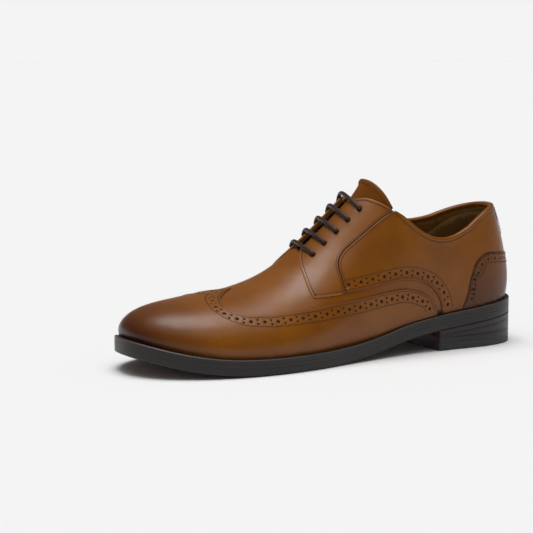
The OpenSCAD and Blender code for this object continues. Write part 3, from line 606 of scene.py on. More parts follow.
def waxed_edge(name, base, light, rough=0.36):
    """Dyed and waxed sole edge: fine lines that run along the layers."""
    m = Matter(name)
    noise = m.place(m.new("ShaderNodeTexNoise"))
    noise.noise_dimensions = "4D"
    noise.inputs["Scale"].default_value = 14
    noise.inputs["Detail"].default_value = 3
    layers_per_mm = 0.32
    stretched = m.new("ShaderNodeMath")
    stretched.operation = "MULTIPLY"
    stretched.inputs[1].default_value = layers_per_mm
    m.link(m.mark("level"), stretched.inputs[0])
    m.link(stretched.outputs[0], noise.inputs["W"])
    lines = noise.outputs["Fac"]
    wear_and_highlight, stained = (0.11, 0.095, 0.085), (0.05, 0.012, 0.01)
    color = m.blend(m.between(lines, 0.35, 0.7), base, light)
    # The welt's rim is lighter: a painted highlight, partly wear
    color = m.blend(m.between(m.mark("light_edge"), 0.25, 0.46, 0, 0.7), color, wear_and_highlight)
    m.set(Base_Color=m.blend(m.mark("breast"), color, stained),
          Roughness=m.between(lines, 0.3, 0.7, rough, rough + 0.16), Specular_IOR_Level=0.35,
          Coat_Weight=0.1, Coat_Roughness=0.3)
    return m.bump((lines, 0.25, 0.5), (m.noise(500, 4), 0.08, 0.3))


def waxed_cord(name, base, light):
    m = Matter(name)
    weave = m.noise(900, 2)
    m.set(Base_Color=m.blend(m.between(weave, 0.4, 0.65), base, light), Roughness=0.42,
          Specular_IOR_Level=0.3, Sheen_Weight=0.06, Sheen_Roughness=0.4)
    return m.bump((weave, 0.12, 0.7))


def plain_matter(name, base, deep, rough, metal=0.0, scale=150):
    m = Matter(name)
    spots = m.noise(scale, 5)
    m.set(Base_Color=m.blend(m.between(spots, 0.35, 0.7), base, deep), Roughness=rough, Metallic=metal)
    return m.bump((spots, 0.1, 0.3))


calf = polished_leather("calf", (0.26, 0.082, 0.001), (0.192, 0.055, 0.001), (0.05, 0.009, 0.001),
                        (0.5, 0.22, 0.04))
# Near-black floor of the perforation pits: painted shade in the holes
hole_shade = soft_leather("calf_hole_painted_shade", (0.02, 0.008, 0.003), (0.012, 0.005, 0.002), 0.8)
calf_lining = soft_leather("calf_lining", (0.27, 0.125, 0.012), (0.2, 0.085, 0.007), 0.6)
flesh = soft_leather("flesh_side", (0.27, 0.14, 0.035), (0.2, 0.1, 0.022), 0.85)
sole_edge = waxed_edge("sole_edge", (0.013, 0.0092, 0.0087), (0.024, 0.0185, 0.0175))
sole_bottom = soft_leather("sole_bottom", (0.09, 0.026, 0.015), (0.06, 0.017, 0.01), 0.42, 700)
rubber = plain_matter("rubber", (0.018, 0.016, 0.016), (0.03, 0.027, 0.026), 0.55, scale=400)
cord_wax = waxed_cord("cord_wax", (0.017, 0.007, 0.006), (0.045, 0.022, 0.02))
thread = waxed_cord("thread", (0.022, 0.008, 0.003), (0.05, 0.018, 0.005))
thread_dark = waxed_cord("thread_dark", (0.035, 0.022, 0.014), (0.07, 0.042, 0.025))
brass = plain_matter("brass", (0.6, 0.4, 0.15), (0.45, 0.29, 0.1), 0.32, 1.0)
steel = plain_matter("steel", (0.5, 0.5, 0.5), (0.4, 0.4, 0.4), 0.35, 1.0)
cork = plain_matter("cork", (0.33, 0.2, 0.1), (0.16, 0.09, 0.045), 0.9, scale=500)
foam = plain_matter("foam", (0.65, 0.56, 0.36), (0.55, 0.46, 0.28), 0.9, scale=700)
stiff_cloth = plain_matter("stiff_cloth", (0.5, 0.42, 0.3), (0.4, 0.33, 0.22), 0.85, scale=900)
aglet_film = plain_matter("aglet_film", (0.045, 0.028, 0.022), (0.03, 0.02, 0.016), 0.25)

# ---- Layers of the upper: how far out of the last's surface, in mm ----
OVER_OUT, OVER_IN = 0.45, -0.3
BASE_OUT, BASE_IN = -0.35, -1.3
LINING_OUT, LINING_IN = -1.9, -2.7
COVER_OUT, COVER_IN = 0.95, 0.5
LACE_D, LACE_HIGH, LACE_LOW = 2.8, 2.0, -5.95
TONGUE_OUT, LEATHER_T, LINING_T = -7.7, 1.1, 0.8

# ---- Lines on the last ----
wing_side = spline([(75, 98.8), (79, 94.5), (85, 91.5), (100, 88.5), (118, 85.3), (135, 81), (152, 75.7),
                    (168, 69.6), (183, 64.4), (198, 60), (213, 56.8)])
wing_front = spline([(213, 56.8), (229, 50.3), (236.5, 41), (238, 31), (235, 21.5), (230, 13), (221, 4),
                     (215, 0)])
quarter_low = spline([(154, 69.8), (134.6, 77.2), (117.8, 82), (100.5, 85.2)])
quarter_rear = spline([(100.5, 85.2), (91.8, 86.5), (83, 88.3), (76.7, 91.4), (73, 94.8), (70.7, 99.7)])
topline = {
    1: [(107.3, 97.5), (97, 88), (88, 81.5), (79, 77.5), (71, 76), (63, 76.3), (55, 78.5), (46, 82.5),
        (45, 83)],
    -1: [(107.3, 98.5), (96, 92.5), (86, 88.5), (75, 86), (64, 84.5), (53, 85.5), (46, 86.8), (45, 87)],
}
heel_top = {
    1: [(45, 83), (36, 87.5), (24, 92.5), (13, 95.5), (3, 96.7), (-6.8, 97)],
    -1: [(45, 87), (36, 88.8), (24, 91.7), (13, 94.4), (3, 96.2), (-6.8, 97)],
}
throat = {1: 7.5, -1: 10.5}
facing_rear = spline([(107.8, 49.6), (118, 47.2), (130, 45.6), (141, 43.7), (148, 43.6), (152.7, 47.5),
                      (154, 55), (154, 69.6)])
facing_top = spline([(126.5, 14), (122, 22), (116, 35), (107.5, 50)])


def facing_front(side):
    t = throat[side]
    return spline([(126.5, 14), (131, t + 0.8), (145, t), (158, t), (165, t + 1), (170, 14.5), (174.5, 26),
                   (177.5, 42), (178, 51), (177.4, 57.2)])


facing_low = spline([(177.4, 57.2), (169.7, 62), (160, 67.2), (154, 69.6)])
EYELET_X, EYELET_SIDE, MEDIAL_SHIFT = [163.5, 154.3, 145, 136.3, 127.7], [24, 24, 24.5, 25, 26.5], 2.2


def eyelet(side, row):
    return np.array([EYELET_X[row] - (MEDIAL_SHIFT if side < 0 else 0), side * EYELET_SIDE[row]])


# ---- The lace and its two tucked-in ends ----


def through(side, row):
    """The lace's middle as it comes up through an eyelet and turns towards the throat."""
    c = eyelet(side, row)
    n, p = last_normal(c), on_last(c)
    inward = unit(on_last(c - [0, side * 3]) - p)
    return [p + n * LACE_LOW, p + n * -4.5, p + n * 0.6, p + n * (LACE_HIGH - 0.25) + inward * 1.5]


def over_edge(side, row):
    return [raised((eyelet(side, row)[0], side * throat[side]), LACE_HIGH + 0.1)]


def bar(row, start):
    return (through(start, row) + over_edge(start, row) + over_edge(-start, row) + through(-start, row)[::-1])


def hidden(side, row, shift):
    return [raised(eyelet(side, row) + [0, side * shift], LACE_LOW)]


lace_line = spline(bar(3, 1) + hidden(-1, 2, -7) + bar(1, -1) + bar(0, 1) + hidden(-1, 1, 7) + bar(2, -1)
                   + hidden(1, 3, -7) + bar(4, 1), 7)
lace = tube("lace_cord", lace_line, LACE_D / 2, 16, cord_wax,
            wobble=lambda i, a: 1 + 0.025 * np.cos(8 * a + i * 1.3))
finish_piece(lace, "waxed_cord", "lace")

down = {
    1: [(137, 31), (137, 36), (136, 42), (134, 48), (132, 55), (130, 62), (128, 69), (127, 76), (126, 83)],
    -1: [(127, 31), (127, 36), (126, 42), (124, 48), (122, 55), (120, 62), (118, 69), (117, 76), (116, 83)],
}
over_sock = {
    1: [(-24.5, 29.5, 36), (-26.5, 28, 29.5), (-30, 24.5, 25), (-36, 20, 24), (-44, 15, 25.6),
        (-53, 11, 27.2), (-63, 9.5, 28.6), (-72, 11, 29.8), (-81, 13, 31.4)],
    -1: [(-34.5, -22, 39.5), (-36.5, -21, 31.5), (-40.5, -19, 27), (-47, -16.5, 26.4), (-56, -13, 27.6),
         (-66, -11.5, 29), (-76, -13, 30.4), (-84, -15, 32)],
}
for side, row, word in ((1, 3, "lateral"), (-1, 4, "medial")):
    on_lining = [raised(c, LACE_LOW + 0.2) for c in sided(down[side], side)]
    sock_part = [np.array(p) + [LENGTH / 2, MIDDLE_Y, 0] for p in over_sock[side]]
    line = spline([through(side, row)[0]] + on_lining + sock_part, 5)
    path = put(line)
    tail = tube(f"lace_end_{word}", line, LACE_D / 2, 14, cord_wax)
    finish_piece(tail, "waxed_cord", f"lace_tail_{word}")
    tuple(path[0])
    float(run(path)[-1])

# ---- How the leather is burnt ----


TOE_BURN_AT, TOE_BURN_HALF = [298, -4, 20], [46, 52, 34]


def burn_marks(c, p):
    """Darker at the toe's tip, the counter and along the welt."""
    tip = np.linalg.norm((p - TOE_BURN_AT) / TOE_BURN_HALF, axis=1)
    toe = np.clip(1.35 - tip, 0, 1) ** 1.3
    heel = np.clip((30 - p[:, 0]) / 45, 0, 1) * np.clip((82 - p[:, 2]) / 40, 0, 1)
    near_sole = np.exp(-np.maximum(p[:, 2] - seat(p[:, 0]), 0) / 5) * 0.3
    return {"burn": np.clip(toe * 0.85 + heel * 0.5 + near_sole, 0, 1)}


def facing_marks(c, p):
    """The facings are folded along their free edges, which get a painted highlight, but not along the seam to
    the quarter, which gets painted shade.
    """
    seam = np.concatenate([sided(facing_rear, k) for k in (1, -1)])
    return {**burn_marks(c, p), "fold": np.clip((distances(seam, c) - 1.5) / 2, 0, 1)}


def counter_marks(c, p):
    low = np.clip((66 - p[:, 2]) / 30, 0, 1)
    return {"burn": np.clip(0.35 + 0.4 * low, 0, 1)}


def dark_marks(c, p):
    return {"burn": np.full(len(p), 0.55)}


# ---- Perforations and stitches ----
BIG, SMALL, BIG_GAP, PAIR = 1.25, 0.8, 9.2, 1.6
rows = {"upper": [], "tongue": [], "welt": []}


def brogue(line, start=3.0, end=3.0, big=BIG, small=SMALL, gap=BIG_GAP, pair=PAIR):
    """Loops of a row of big holes with a pair of small ones between each two."""
    centers = spaced(line, gap, start, end)
    loops = [disc(q, big, 14) for q in centers]
    s = run(raised(line, 0))
    middles = at(line, s, np.linspace(start, s[-1] - end, 2 * len(centers) - 1))[1::2]
    for shift in (-pair, pair):
        loops += [disc(q, small, 10) for q in beside(middles, shift)] if len(middles) > 1 else []
    return loops


def sew(kind, line, h):
    """Keeps a row of stitches on the surface for the thread piece of this kind."""
    rows[kind].append((raised(line, h), last_normal(line)))


# One stitch: places along it, how far each lies over the leather in mm, and its share of the thickness
STITCH_ALONG, STITCH_LIFT = [-0.5, -0.36, 0, 0.36, 0.5], [-0.25, 0.03, 0.1, 0.03, -0.25]
STITCH_THICK, STITCH_SIDES, STITCH_END = [0.45, 0.85, 1, 0.85, 0.45], 6, 0.5


def threads(name, kind, material, slot, body="shoe", pitch=1.65, size=1.15, r=0.32):
    """Every stitch of one kind in one piece: size mm long, r mm in radius, pitch mm apart."""
    verts, faces, total = [], [], 0
    along, lift = np.array(STITCH_ALONG) * size, np.array(STITCH_LIFT)
    thick = np.array(STITCH_THICK) * r
    rings, points = len(along), len(along) * STITCH_SIDES
    turn = np.arange(STITCH_SIDES) * math.pi / 3
    for p, n in rows[kind]:
        s = run(p)
        room = s[-1] - 2 * STITCH_END
        count = int(room / pitch)
        if count < 1:
            continue
        mids = STITCH_END + pitch * (np.arange(count) + 0.5) * room / (pitch * count)
        where = mids[:, None] + along
        q = at(p, s, where.ravel()).reshape(count, rings, 3)
        up = unit(at(n, s, where.ravel()).reshape(count, rings, 3))
        way = unit(q[:, -1] - q[:, 0])[:, None]
        cross = unit(np.cross(way, up))
        q = q + up * lift[None, :, None]
        out = np.cos(turn)[:, None] * cross[:, :, None] + np.sin(turn)[:, None] * up[:, :, None]
        ring = q[:, :, None] + thick[None, :, None, None] * out
        verts.append(ring.reshape(-1, 3))
        base = total + np.arange(count)[:, None, None] * points
        quads = ring_faces(rings, STITCH_SIDES)[None] + base
        faces += quads.reshape(-1, 4).tolist()
        for first in base.ravel():
            faces.append(list(range(first, first + STITCH_SIDES))[::-1])
            faces.append(list(range(first + points - STITCH_SIDES, first + points)))
        total += count * points
    finish_piece(add_mesh(name, np.vstack(verts), faces, [material]), slot, body=body)


def panel(name, loop, high, low, slot, *nodes, edge=FOLDED, pits=(), holes=(), marks=burn_marks,
          body="shoe", place=raised, materials=(calf, hole_shade, flesh), grid=(1.7, 2.1)):
    """A formed piece of leather with its finish, which stands for CAD nodes."""
    obj = plate(name, loop, place, high, low, materials, edge, grid, pits, holes, marks)
    return finish_piece(obj, slot, *nodes, body=body)


def outline(*segments, gap=0.9, h=0.0):
    """A closed loop from lines that meet at corners, each with even steps on the surface."""
    return np.vstack([spaced(s, gap, h=h)[:-1] for s in segments])


FOOT = 100.8


def on_side(line, side, lowest=98.0):
    """The part of a line that stays on its own side of the ridge and above the welt."""
    around = np.hypot(line[:, 0] - np.clip(line[:, 0], HEEL_X, TOE_X), line[:, 1])
    ok = (side * line[:, 1] > 0.3) & (around < lowest)
    first = int(np.argmax(ok))
    last = first + int(np.argmin(np.r_[ok[first:], False]))
    return line[first:last]


def band(line, side, inward, holes_at, stitches_at, start=3.0, end=3.0, height=OVER_OUT, **sizes):
    """Perforations and rows of stitches beside a panel's edge; inward +1 is to the line's right."""
    dense = spaced(line, 0.8)
    for gap in stitches_at:
        sew("upper", on_side(beside(dense, inward * gap * side), side), height)
    if holes_at is None:
        return []
    return brogue(on_side(beside(dense, inward * holes_at * side), side), start, end, **sizes)


# Wings and toe cap in one piece
wing_edge = whole(join(wing_side, wing_front))
cap_foot = rim(TOE_X, -90, 90, FOOT, 90)
pits = []
for side in (1, -1):
    pits += band(sided(join(wing_side, wing_front), side), side, -1, 5.4, (1.9, 8.9), 2.5, 2.5)
panel("wing_cap_leather",
      outline(wing_edge, [(75, -98.8), (75, -FOOT)], [(75, -FOOT), (213, -FOOT)], cap_foot,
              [(213, FOOT), (75, FOOT)], [(75, FOOT), (75, 98.8)]),
      OVER_OUT, OVER_IN, "upper_leather", "wing_cap", pits=pits)

# Vamp, which runs on under the wings and the quarters
front_edge = join(wing_side, wing_front)
front_foot = join([(77, 100), (213, 100)], rim(TOE_X, 90, 0, 100))
steps = np.linspace(0, 1, 80)
edge_pts = at(front_edge, run(front_edge) / run(front_edge)[-1], steps)
foot_pts = at(front_foot, run(front_foot) / run(front_foot)[-1], steps)
vamp_front = whole(edge_pts * 0.86 + foot_pts * 0.14)
vamp_rear = join(spline([(64, 98.5), (69, 91), (82, 84), (99, 80), (133, 70.5), (150, 64), (165, 53)]),
                 spline([(165, 53), (170, 42), (170, 28), (166.5, 12), (164.5, 0)]))
panel("vamp_leather",
      outline(whole(vamp_rear), join([vamp_rear[0] * [1, -1]], [vamp_front[-1]]), vamp_front[::-1],
              [vamp_front[0], vamp_rear[0]]),
      BASE_OUT, BASE_IN, "upper_leather", "vamp", edge=CUT)

SEAM_ROW, EDGE_ROW = 1.6, 2.1
TURNED_DEPTH, TURNED_TO = 1.6, 161.0
# Where the vamp ends under the lining, as its farthest place around at each place along
LAP = [(64, 98.5), (69, 91), (82, 84), (99, 80), (133, 70.5), (150, 64), (162, 55), (164, 0)]
LINING_RIM = 99.6


def at_throat(c, reach):
    """1 on the strip of this width beside the throat, behind the vamp."""
    t = np.where(c[:, 1] > 0, throat[1], throat[-1])
    return np.clip(reach - (np.abs(c[:, 1]) - t), 0, 1) * np.clip((TURNED_TO - c[:, 0]) / 3, 0, 1)


def turned_edge(c):
    """The facing's edge is folded under along the throat, so it is thicker there."""
    return OVER_IN - TURNED_DEPTH * at_throat(c, 4)


for side, word in ((1, "lateral"), (-1, "medial")):
    front = facing_front(side)
    eyelets = [disc(eyelet(side, row), 1.8, 18) for row in range(5)]
    panel(f"{word}_facing_leather",
          outline(sided(front, side), sided(facing_low, side), sided(facing_rear[::-1], side),
                  sided(facing_top[::-1], side)),
          OVER_OUT, turned_edge, "upper_leather", f"{word}_facing", holes=eyelets, grid=(1.5, 1.9),
          marks=facing_marks)
    for line, way, gaps in ((join(front, facing_low), -1, (EDGE_ROW,)), (facing_rear, 1, (SEAM_ROW,)),
                            (facing_rear, -1, (SEAM_ROW,)), (facing_top, 1, (EDGE_ROW,))):
        band(sided(line, side), side, way, None, gaps)

    top = drawn(topline[side], side)
    heel = drawn(heel_top[side], side)
    low = sided(join(quarter_low, quarter_rear), side)
    pits = band(low, side, -1, 5.4, (1.9, 9.2), 4.5, 2.5)
    back = heel[-1]
    panel(f"{word}_quarter_leather",
          outline(sided(facing_rear[::-1], side), join(sided(facing_rear[:1], side), top), heel,
                  [back, (HEEL_X - FOOT, side * 0.4)], rim(HEEL_X, side * 0.25, side * 90, FOOT),
                  sided([(45, FOOT), (70.7, FOOT)], side), sided([(70.7, FOOT), (70.7, 99.7)], side),
                  sided(quarter_rear[::-1], side), sided(quarter_low[::-1], side)),
          OVER_OUT, OVER_IN, "upper_leather", f"{word}_quarter", pits=pits)

    def lining_top(c):
        """The lining touches the leather, but lies deeper where the vamp runs in between."""
        lap = np.interp(c[:, 0], *np.array(LAP).T)
        touch = np.clip((lap - 2 - np.abs(c[:, 1])) / 4, 0, 1) * (1 - at_throat(c, 6))
        return LINING_OUT - 0.1 + (OVER_IN - LINING_OUT) * touch

    t = throat[side]
    panel(f"{word}_lining_leather",
          outline(sided([(165, t + 0.4), (131, t + 0.4)], side), sided([(131, t + 0.4), (127, 14.2)], side),
                  sided(join([(127, 14.2)], facing_top[3:]), side), join(sided(facing_top[-1:], side), top),
                  heel, [back, (HEEL_X - LINING_RIM, side * 0.4)],
                  rim(HEEL_X, side * 0.25, side * 90, LINING_RIM),
                  sided([(45, LINING_RIM), (113, LINING_RIM)], side),
                  sided([(113, LINING_RIM), (118, 96.5), (132, 85.8)], side),
                  sided(spline([(132, 85.8), (150, 74.5), (165, 58), (171, 42)]), side),
                  sided([(171, 42), (165, t + 0.4)], side)),
          lining_top, LINING_IN, "lining_leather", f"{word}_lining", edge=CUT, marks=None, holes=eyelets,
          materials=[calf_lining], grid=(2.2, 2.8))

# Counter cover, back tab and topline binding
counter = join(drawn([(53.5, 28.5), (50.3, 36.5), (47.5, 48), (43.5, 58)]),
               drawn([(43.5, 58), (38, 63.5), (30, 65.8), (20, 65.5), (7, 64.5), (-7, 64.5)]))
pits = []
for side in (1, -1):
    pits += band(sided(counter, side), side, 1, 4.4, (1.6, 7.3), 4, 3.2, height=COVER_OUT, big=0.95,
                 small=0.5, gap=6.6, pair=0.95)
panel("counter_cover_leather",
      outline(whole(counter), [counter[0] * [1, -1], (53.9, -FOOT)], [(53.9, -FOOT), (45, -FOOT)],
              rim(HEEL_X, -90, 90, FOOT), [(45, FOOT), (53.9, FOOT)], [(53.9, FOOT), counter[0]]),
      COVER_OUT, COVER_IN, "burnished_leather", "counter_cover", pits=pits, marks=counter_marks, edge=CUT)
tab = drawn([(5.2, 96.6), (6.2, 91.5), (5.2, 87.5), (3, 85), (3.8, 81.5), (2, 77.5), (-2.5, 75), (-7, 74.5)])
tab_top = drawn([(-7, 96.9), (-2, 96.9), (2, 96.8), (5.2, 96.6)])
panel("back_tab_leather", outline(whole(tab), whole(tab_top[::-1])[::-1]), COVER_OUT, COVER_IN,
      "burnished_leather", "back_tab", marks=dark_marks, edge=CUT)
for side in (1, -1):
    band(sided(tab, side), side, 1, None, (1.3,), height=COVER_OUT)


def sweep(name, line, profile, taper, material):
    """A closed profile of (up, out) points carried along a line on the last, and narrower at both ends."""
    p, n = raised(line, 0), last_normal(line)
    way = unit(np.gradient(p, axis=0))
    up = unit(np.cross(n, way))
    out = np.cross(way, up)
    out *= np.sign((out * n).sum(1))[:, None]
    s = run(p)
    size = np.clip(0.3 + 0.7 * np.minimum(s, s[-1] - s) / taper, 0, 1) ** 0.6
    profile = np.array(profile)[None] * size[:, None, None]
    ring = p[:, None] + up[:, None] * profile[..., 0:1] + out[:, None] * profile[..., 1:2]
    return add_mesh(name, ring.reshape(-1, 3), tube_faces(*profile.shape[:2]), [material])


top_run = {side: join(drawn(topline[side], side), drawn(heel_top[side], side)) for side in (1, -1)}
binding_line = spaced(join(top_run[1][:-1], [spot(BACK_S, 97)], top_run[-1][::-1][1:]), 1.2)
BINDING = [(-0.5, 0.3), (-0.35, 0.75), (0.1, 0.95), (1.0, 1.0), (1.9, 0.9), (2.45, 0.45), (2.7, -0.3),
           (2.75, -1.1), (2.7, -1.9), (2.45, -2.6), (1.9, -3.05), (1.0, -3.15), (0.1, -3.1), (-0.35, -2.95),
           (-0.5, -2.6)]
binding = sweep("topline_binding_leather", binding_line, BINDING, 7, calf)
finish_piece(binding, "edge_leather", "topline_binding")
for side in (1, -1):
    sew("upper", spaced(beside(spaced(top_run[side][:-3], 1), 0.75 * side), 0.8), OVER_OUT)

# Vamp lining and heel grip
lining_rear = join(spline([(121, 99), (134, 87), (152, 76), (168, 60)]),
                   spline([(168, 60), (174, 43), (176, 25), (177, 10), (177, 0)]))
panel("vamp_lining_leather",
      outline(whole(lining_rear), [(121, -99), (130, -99.3)], [(130, -99.3), (213, -99.3)],
              rim(TOE_X, -90, 90, 99.3), [(213, 99.3), (130, 99.3)], [(130, 99.3), (121, 99)]),
      LINING_OUT, LINING_IN, "lining_leather", "vamp_lining", edge=CUT, marks=None, materials=[calf_lining],
      grid=(3, 3.6))
grip_top = drawn([(57, 72), (45, 77.5), (30, 85), (12, 91), (-7, 93)])
panel("heel_grip_leather",
      outline(whole(grip_top), [grip_top[0] * [1, -1], (62, -88)], [(62, -88), (45, -88)],
              rim(HEEL_X, -90, 90, 88), [(45, 88), (62, 88)], [(62, 88), grip_top[0]]),
      LINING_IN - 0.05, LINING_IN - 0.8, "lining_leather", "heel_grip", edge=CUT, marks=None,
      materials=[flesh], grid=(2.4, 3))

# ---- Tongue, on its own body ----
TONGUE_BASE, TONGUE_TOP, TONGUE_DROOP, DROOP_AT = 172.0, 113.5, 7.3, 47
TONGUE_DEPTH = [(0, TONGUE_OUT + 1.6), (0.2, TONGUE_OUT), (0.8, TONGUE_OUT), (0.9, TONGUE_OUT + 1.6),
                (1, TONGUE_OUT + 4.2)]
TONGUE_HALF = [(0, 25), (0.3, 32), (0.6, 36), (0.8, 40), (0.92, 46), (1, 48)]
TONGUE_CROWN, CROWN_HALF = [(0, 3), (0.1, 3.5), (0.8, 3.5), (0.9, 2.6), (1, 0)], 13
TONGUE_SWELL, SWELL_FROM = 2.6, 0.8


def tongue_end(around, trim=0.0):
    return TONGUE_TOP + trim - TONGUE_DROOP * (around / DROOP_AT) ** 2


def on_tongue(c, h):
    c = np.asarray(c, float)
    t = np.clip((TONGUE_BASE - c[..., 0]) / (TONGUE_BASE - tongue_end(c[..., 1])), 0, 1)
    off = np.minimum(1, np.abs(c[..., 1]) / CROWN_HALF)
    across = np.minimum(1, np.abs(c[..., 1]) / curve(TONGUE_HALF, t))
    bulge = (np.maximum(0, t - SWELL_FROM) / (1 - SWELL_FROM)) ** 2 * (1 - across**2)
    crown = curve(TONGUE_CROWN, t) * np.cos(math.pi / 2 * off) ** 2
    return raised(c, curve(TONGUE_DEPTH, t) + crown + TONGUE_SWELL * bulge + h)


def tongue_side(trim, side, steps=40):
    t = np.linspace(0, 1, steps)
    around = side * (curve(TONGUE_HALF, t) - trim)
    return np.stack([TONGUE_BASE + (tongue_end(around, trim) - TONGUE_BASE) * t, around], -1)


def tongue_outline(trim):
    left, right = tongue_side(trim, 1), tongue_side(trim, -1)
    around = np.linspace(left[-1][1], right[-1][1], 40)
    end = np.stack([tongue_end(around, trim), around], -1)
    around = np.linspace(right[0][1], left[0][1], 12)
    base = np.stack([np.full(12, TONGUE_BASE), around], -1)
    return outline(left, end, right[::-1], base)


panel("tongue_leather", tongue_outline(0), 0, -LEATHER_T, "upper_leather", "tongue", body="tongue",
      place=on_tongue, marks=lambda c, p: {"burn": np.zeros(len(p))}, grid=(1.6, 1.6))
panel("tongue_lining_leather", tongue_outline(0.5), -LEATHER_T - 0.05, -LEATHER_T - LINING_T,
      "lining_leather", "tongue_lining", body="tongue", place=on_tongue, edge=CUT, marks=None,
      materials=[calf_lining], grid=(1.6, 1.6))
sewn = np.linspace(44, -44, 70)
arc = join(tongue_side(3.4, 1)[14:], np.stack([tongue_end(sewn, 2.4), sewn], -1),
           tongue_side(3.4, -1)[::-1][:-14])
arc = spaced(arc, 0.8)
rows["tongue"].append((on_tongue(arc, 0), last_normal(arc)))

# Eyelet washers on the lining: (out from the eyelet's middle, over the last's surface)
WASHER = [(1.85, -2.0), (1.85, -3.0), (2.05, -3.12), (2.7, -3.12), (2.95, -2.95), (2.95, -2.7), (2.1, -2.7),
          (2.1, -2.0)]
turn = np.linspace(0, 2 * math.pi, 28, endpoint=False)
for side, word in ((1, "lateral"), (-1, "medial")):
    verts, faces = [], []
    for row in range(5):
        c = eyelet(side, row)
        n, p = last_normal(c), on_last(c)
        e1 = unit(np.cross(n, [0, 1, 0]))
        e2 = np.cross(n, e1)
        ring = [p + r * (math.cos(a) * e1 + math.sin(a) * e2) + h * n for a in turn for r, h in WASHER]
        k = len(WASHER)
        base = row * len(turn) * k
        verts += ring
        for i in range(len(turn)):
            for j in range(k):
                i2, j2 = (i + 1) % len(turn), (j + 1) % k
                faces.append([base + i * k + j, base + i2 * k + j, base + i2 * k + j2, base + i * k + j2])
    finish_piece(add_mesh(f"{word}_eyelet_rings", np.array(verts), faces, [brass]), "brass",
                 f"{word}_eyelets")

# ---- Sole ----


def sole_line(side, inset, steps=46):
    widths = SOLE_LATERAL if side > 0 else SOLE_MEDIAL
    power = TOE_POWER_LATERAL if side > 0 else TOE_POWER_SOLE
    a = np.linspace(0, math.pi / 2, steps)
    heel_w, ball_w = widths[0][1] - inset, widths[-1][1] - inset
    r = oval_reach(a, HEEL_X - inset, heel_w, HEEL_POWER)
    heel = np.stack([HEEL_X - r * np.cos(a), side * r * np.sin(a)], -1)
    x = np.linspace(HEEL_X, TOE_X, 110)[1:-1]
    middle = np.stack([x, side * (curve(widths, x, True) - inset)], -1)
    r = oval_reach(a[::-1], LENGTH - inset - TOE_X, ball_w, power)
    toe = np.stack([TOE_X + r * np.cos(a[::-1]), side * r * np.sin(a[::-1])], -1)
    return np.vstack([heel, middle, toe])


def even_flat(p, gap):
    s = run(p)
    return at(p, s, np.linspace(0, s[-1], max(2, round(s[-1] / gap)) + 1))


def cut_line(line, x, front):
    """The part of a side line in front of, or behind, x, ending exactly there."""
    keep = line[line[:, 0] > x] if front else line[line[:, 0] < x]
    y = np.interp(x, line[:, 0], line[:, 1])
    return np.vstack([[(x, y)], keep]) if front else np.vstack([keep, [(x, y)]])


def closed(*lines, gap=1.2):
    """A closed loop from flat lines that meet at corners, each with even steps."""
    return np.vstack([even_flat(line, gap)[:-1] for line in lines])


def sole_loop(inset, gap=1.2):
    return closed(sole_line(1, inset), sole_line(-1, inset)[::-1], gap=gap)


def heel_loop(x, round_r=1.2):
    left, right = (cut_line(sole_line(k, 0), x - round_r, False) for k in (1, -1))
    front = [left[-1], left[-1] + [round_r * 0.7, -0.25], left[-1] + [round_r, -1.2],
             right[-1] + [round_r, 1.2], right[-1] + [round_r * 0.7, 0.25], right[-1]]
    return closed(left, np.array(front), right[::-1])


def strip_loop(x, inset, front):
    outer = [cut_line(sole_line(k, 0), x, front) for k in (1, -1)]
    inner = [cut_line(sole_line(k, inset), x, front) for k in (1, -1)]
    a = join(outer[0] if front else outer[0][::-1], outer[1][::-1] if front else outer[1])
    b = join(inner[1] if front else inner[1][::-1], inner[0][::-1] if front else inner[0])
    return closed(a, np.array([a[-1], b[0]]), b, np.array([b[-1], a[0]]))


def on_sole(c, h):
    return np.stack([c[..., 0], c[..., 1], underside(c[..., 0]) + h], -1)


def on_ground(c, h):
    return np.stack([c[..., 0], c[..., 1], np.broadcast_to(h, c.shape[:-1])], -1)


def sole_marks(c, p):
    return {"level": np.where(p[:, 0] < BREAST_X, p[:, 2], p[:, 2] - underside(p[:, 0]) + BREAST_H)}


def heel_marks(c, p):
    """The heel's front is stained red."""
    return {**sole_marks(c, p), "breast": np.clip((p[:, 0] - BREAST_X + 0.3) / 0.25, 0, 1)}


def welt_marks(c, p):
    """The welt's upper edge is painted lighter: a painted highlight, with some wear."""
    return {**sole_marks(c, p), "fold": np.ones(len(p))}


draw = np.random.default_rng(11)


def ribbed(top_drop, bottom_drop, step=0.55, depth=0.045):
    """Fine lines along a waxed edge, as (inset, drop) pairs."""
    drops = np.arange(top_drop, bottom_drop, step)
    return [(float(draw.uniform(0, depth)), float(d)) for d in drops]


def slab(name, loop, place, high, low, slot, *nodes, edge, foot, thick, materials=(sole_edge,), grid=(4, 4),
         holes=(), marks=sole_marks):
    """A layer of the sole with ribbed walls; edge and foot are its rounded rims."""
    walls = ribbed(edge[-1][1] + 0.4, thick - foot[0][1] - 0.2) + [(i, thick - d) for i, d in foot]
    obj = plate(name, loop, place, high, low, materials, edge, grid, (), holes, marks, walls)
    return finish_piece(obj, slot, *nodes)


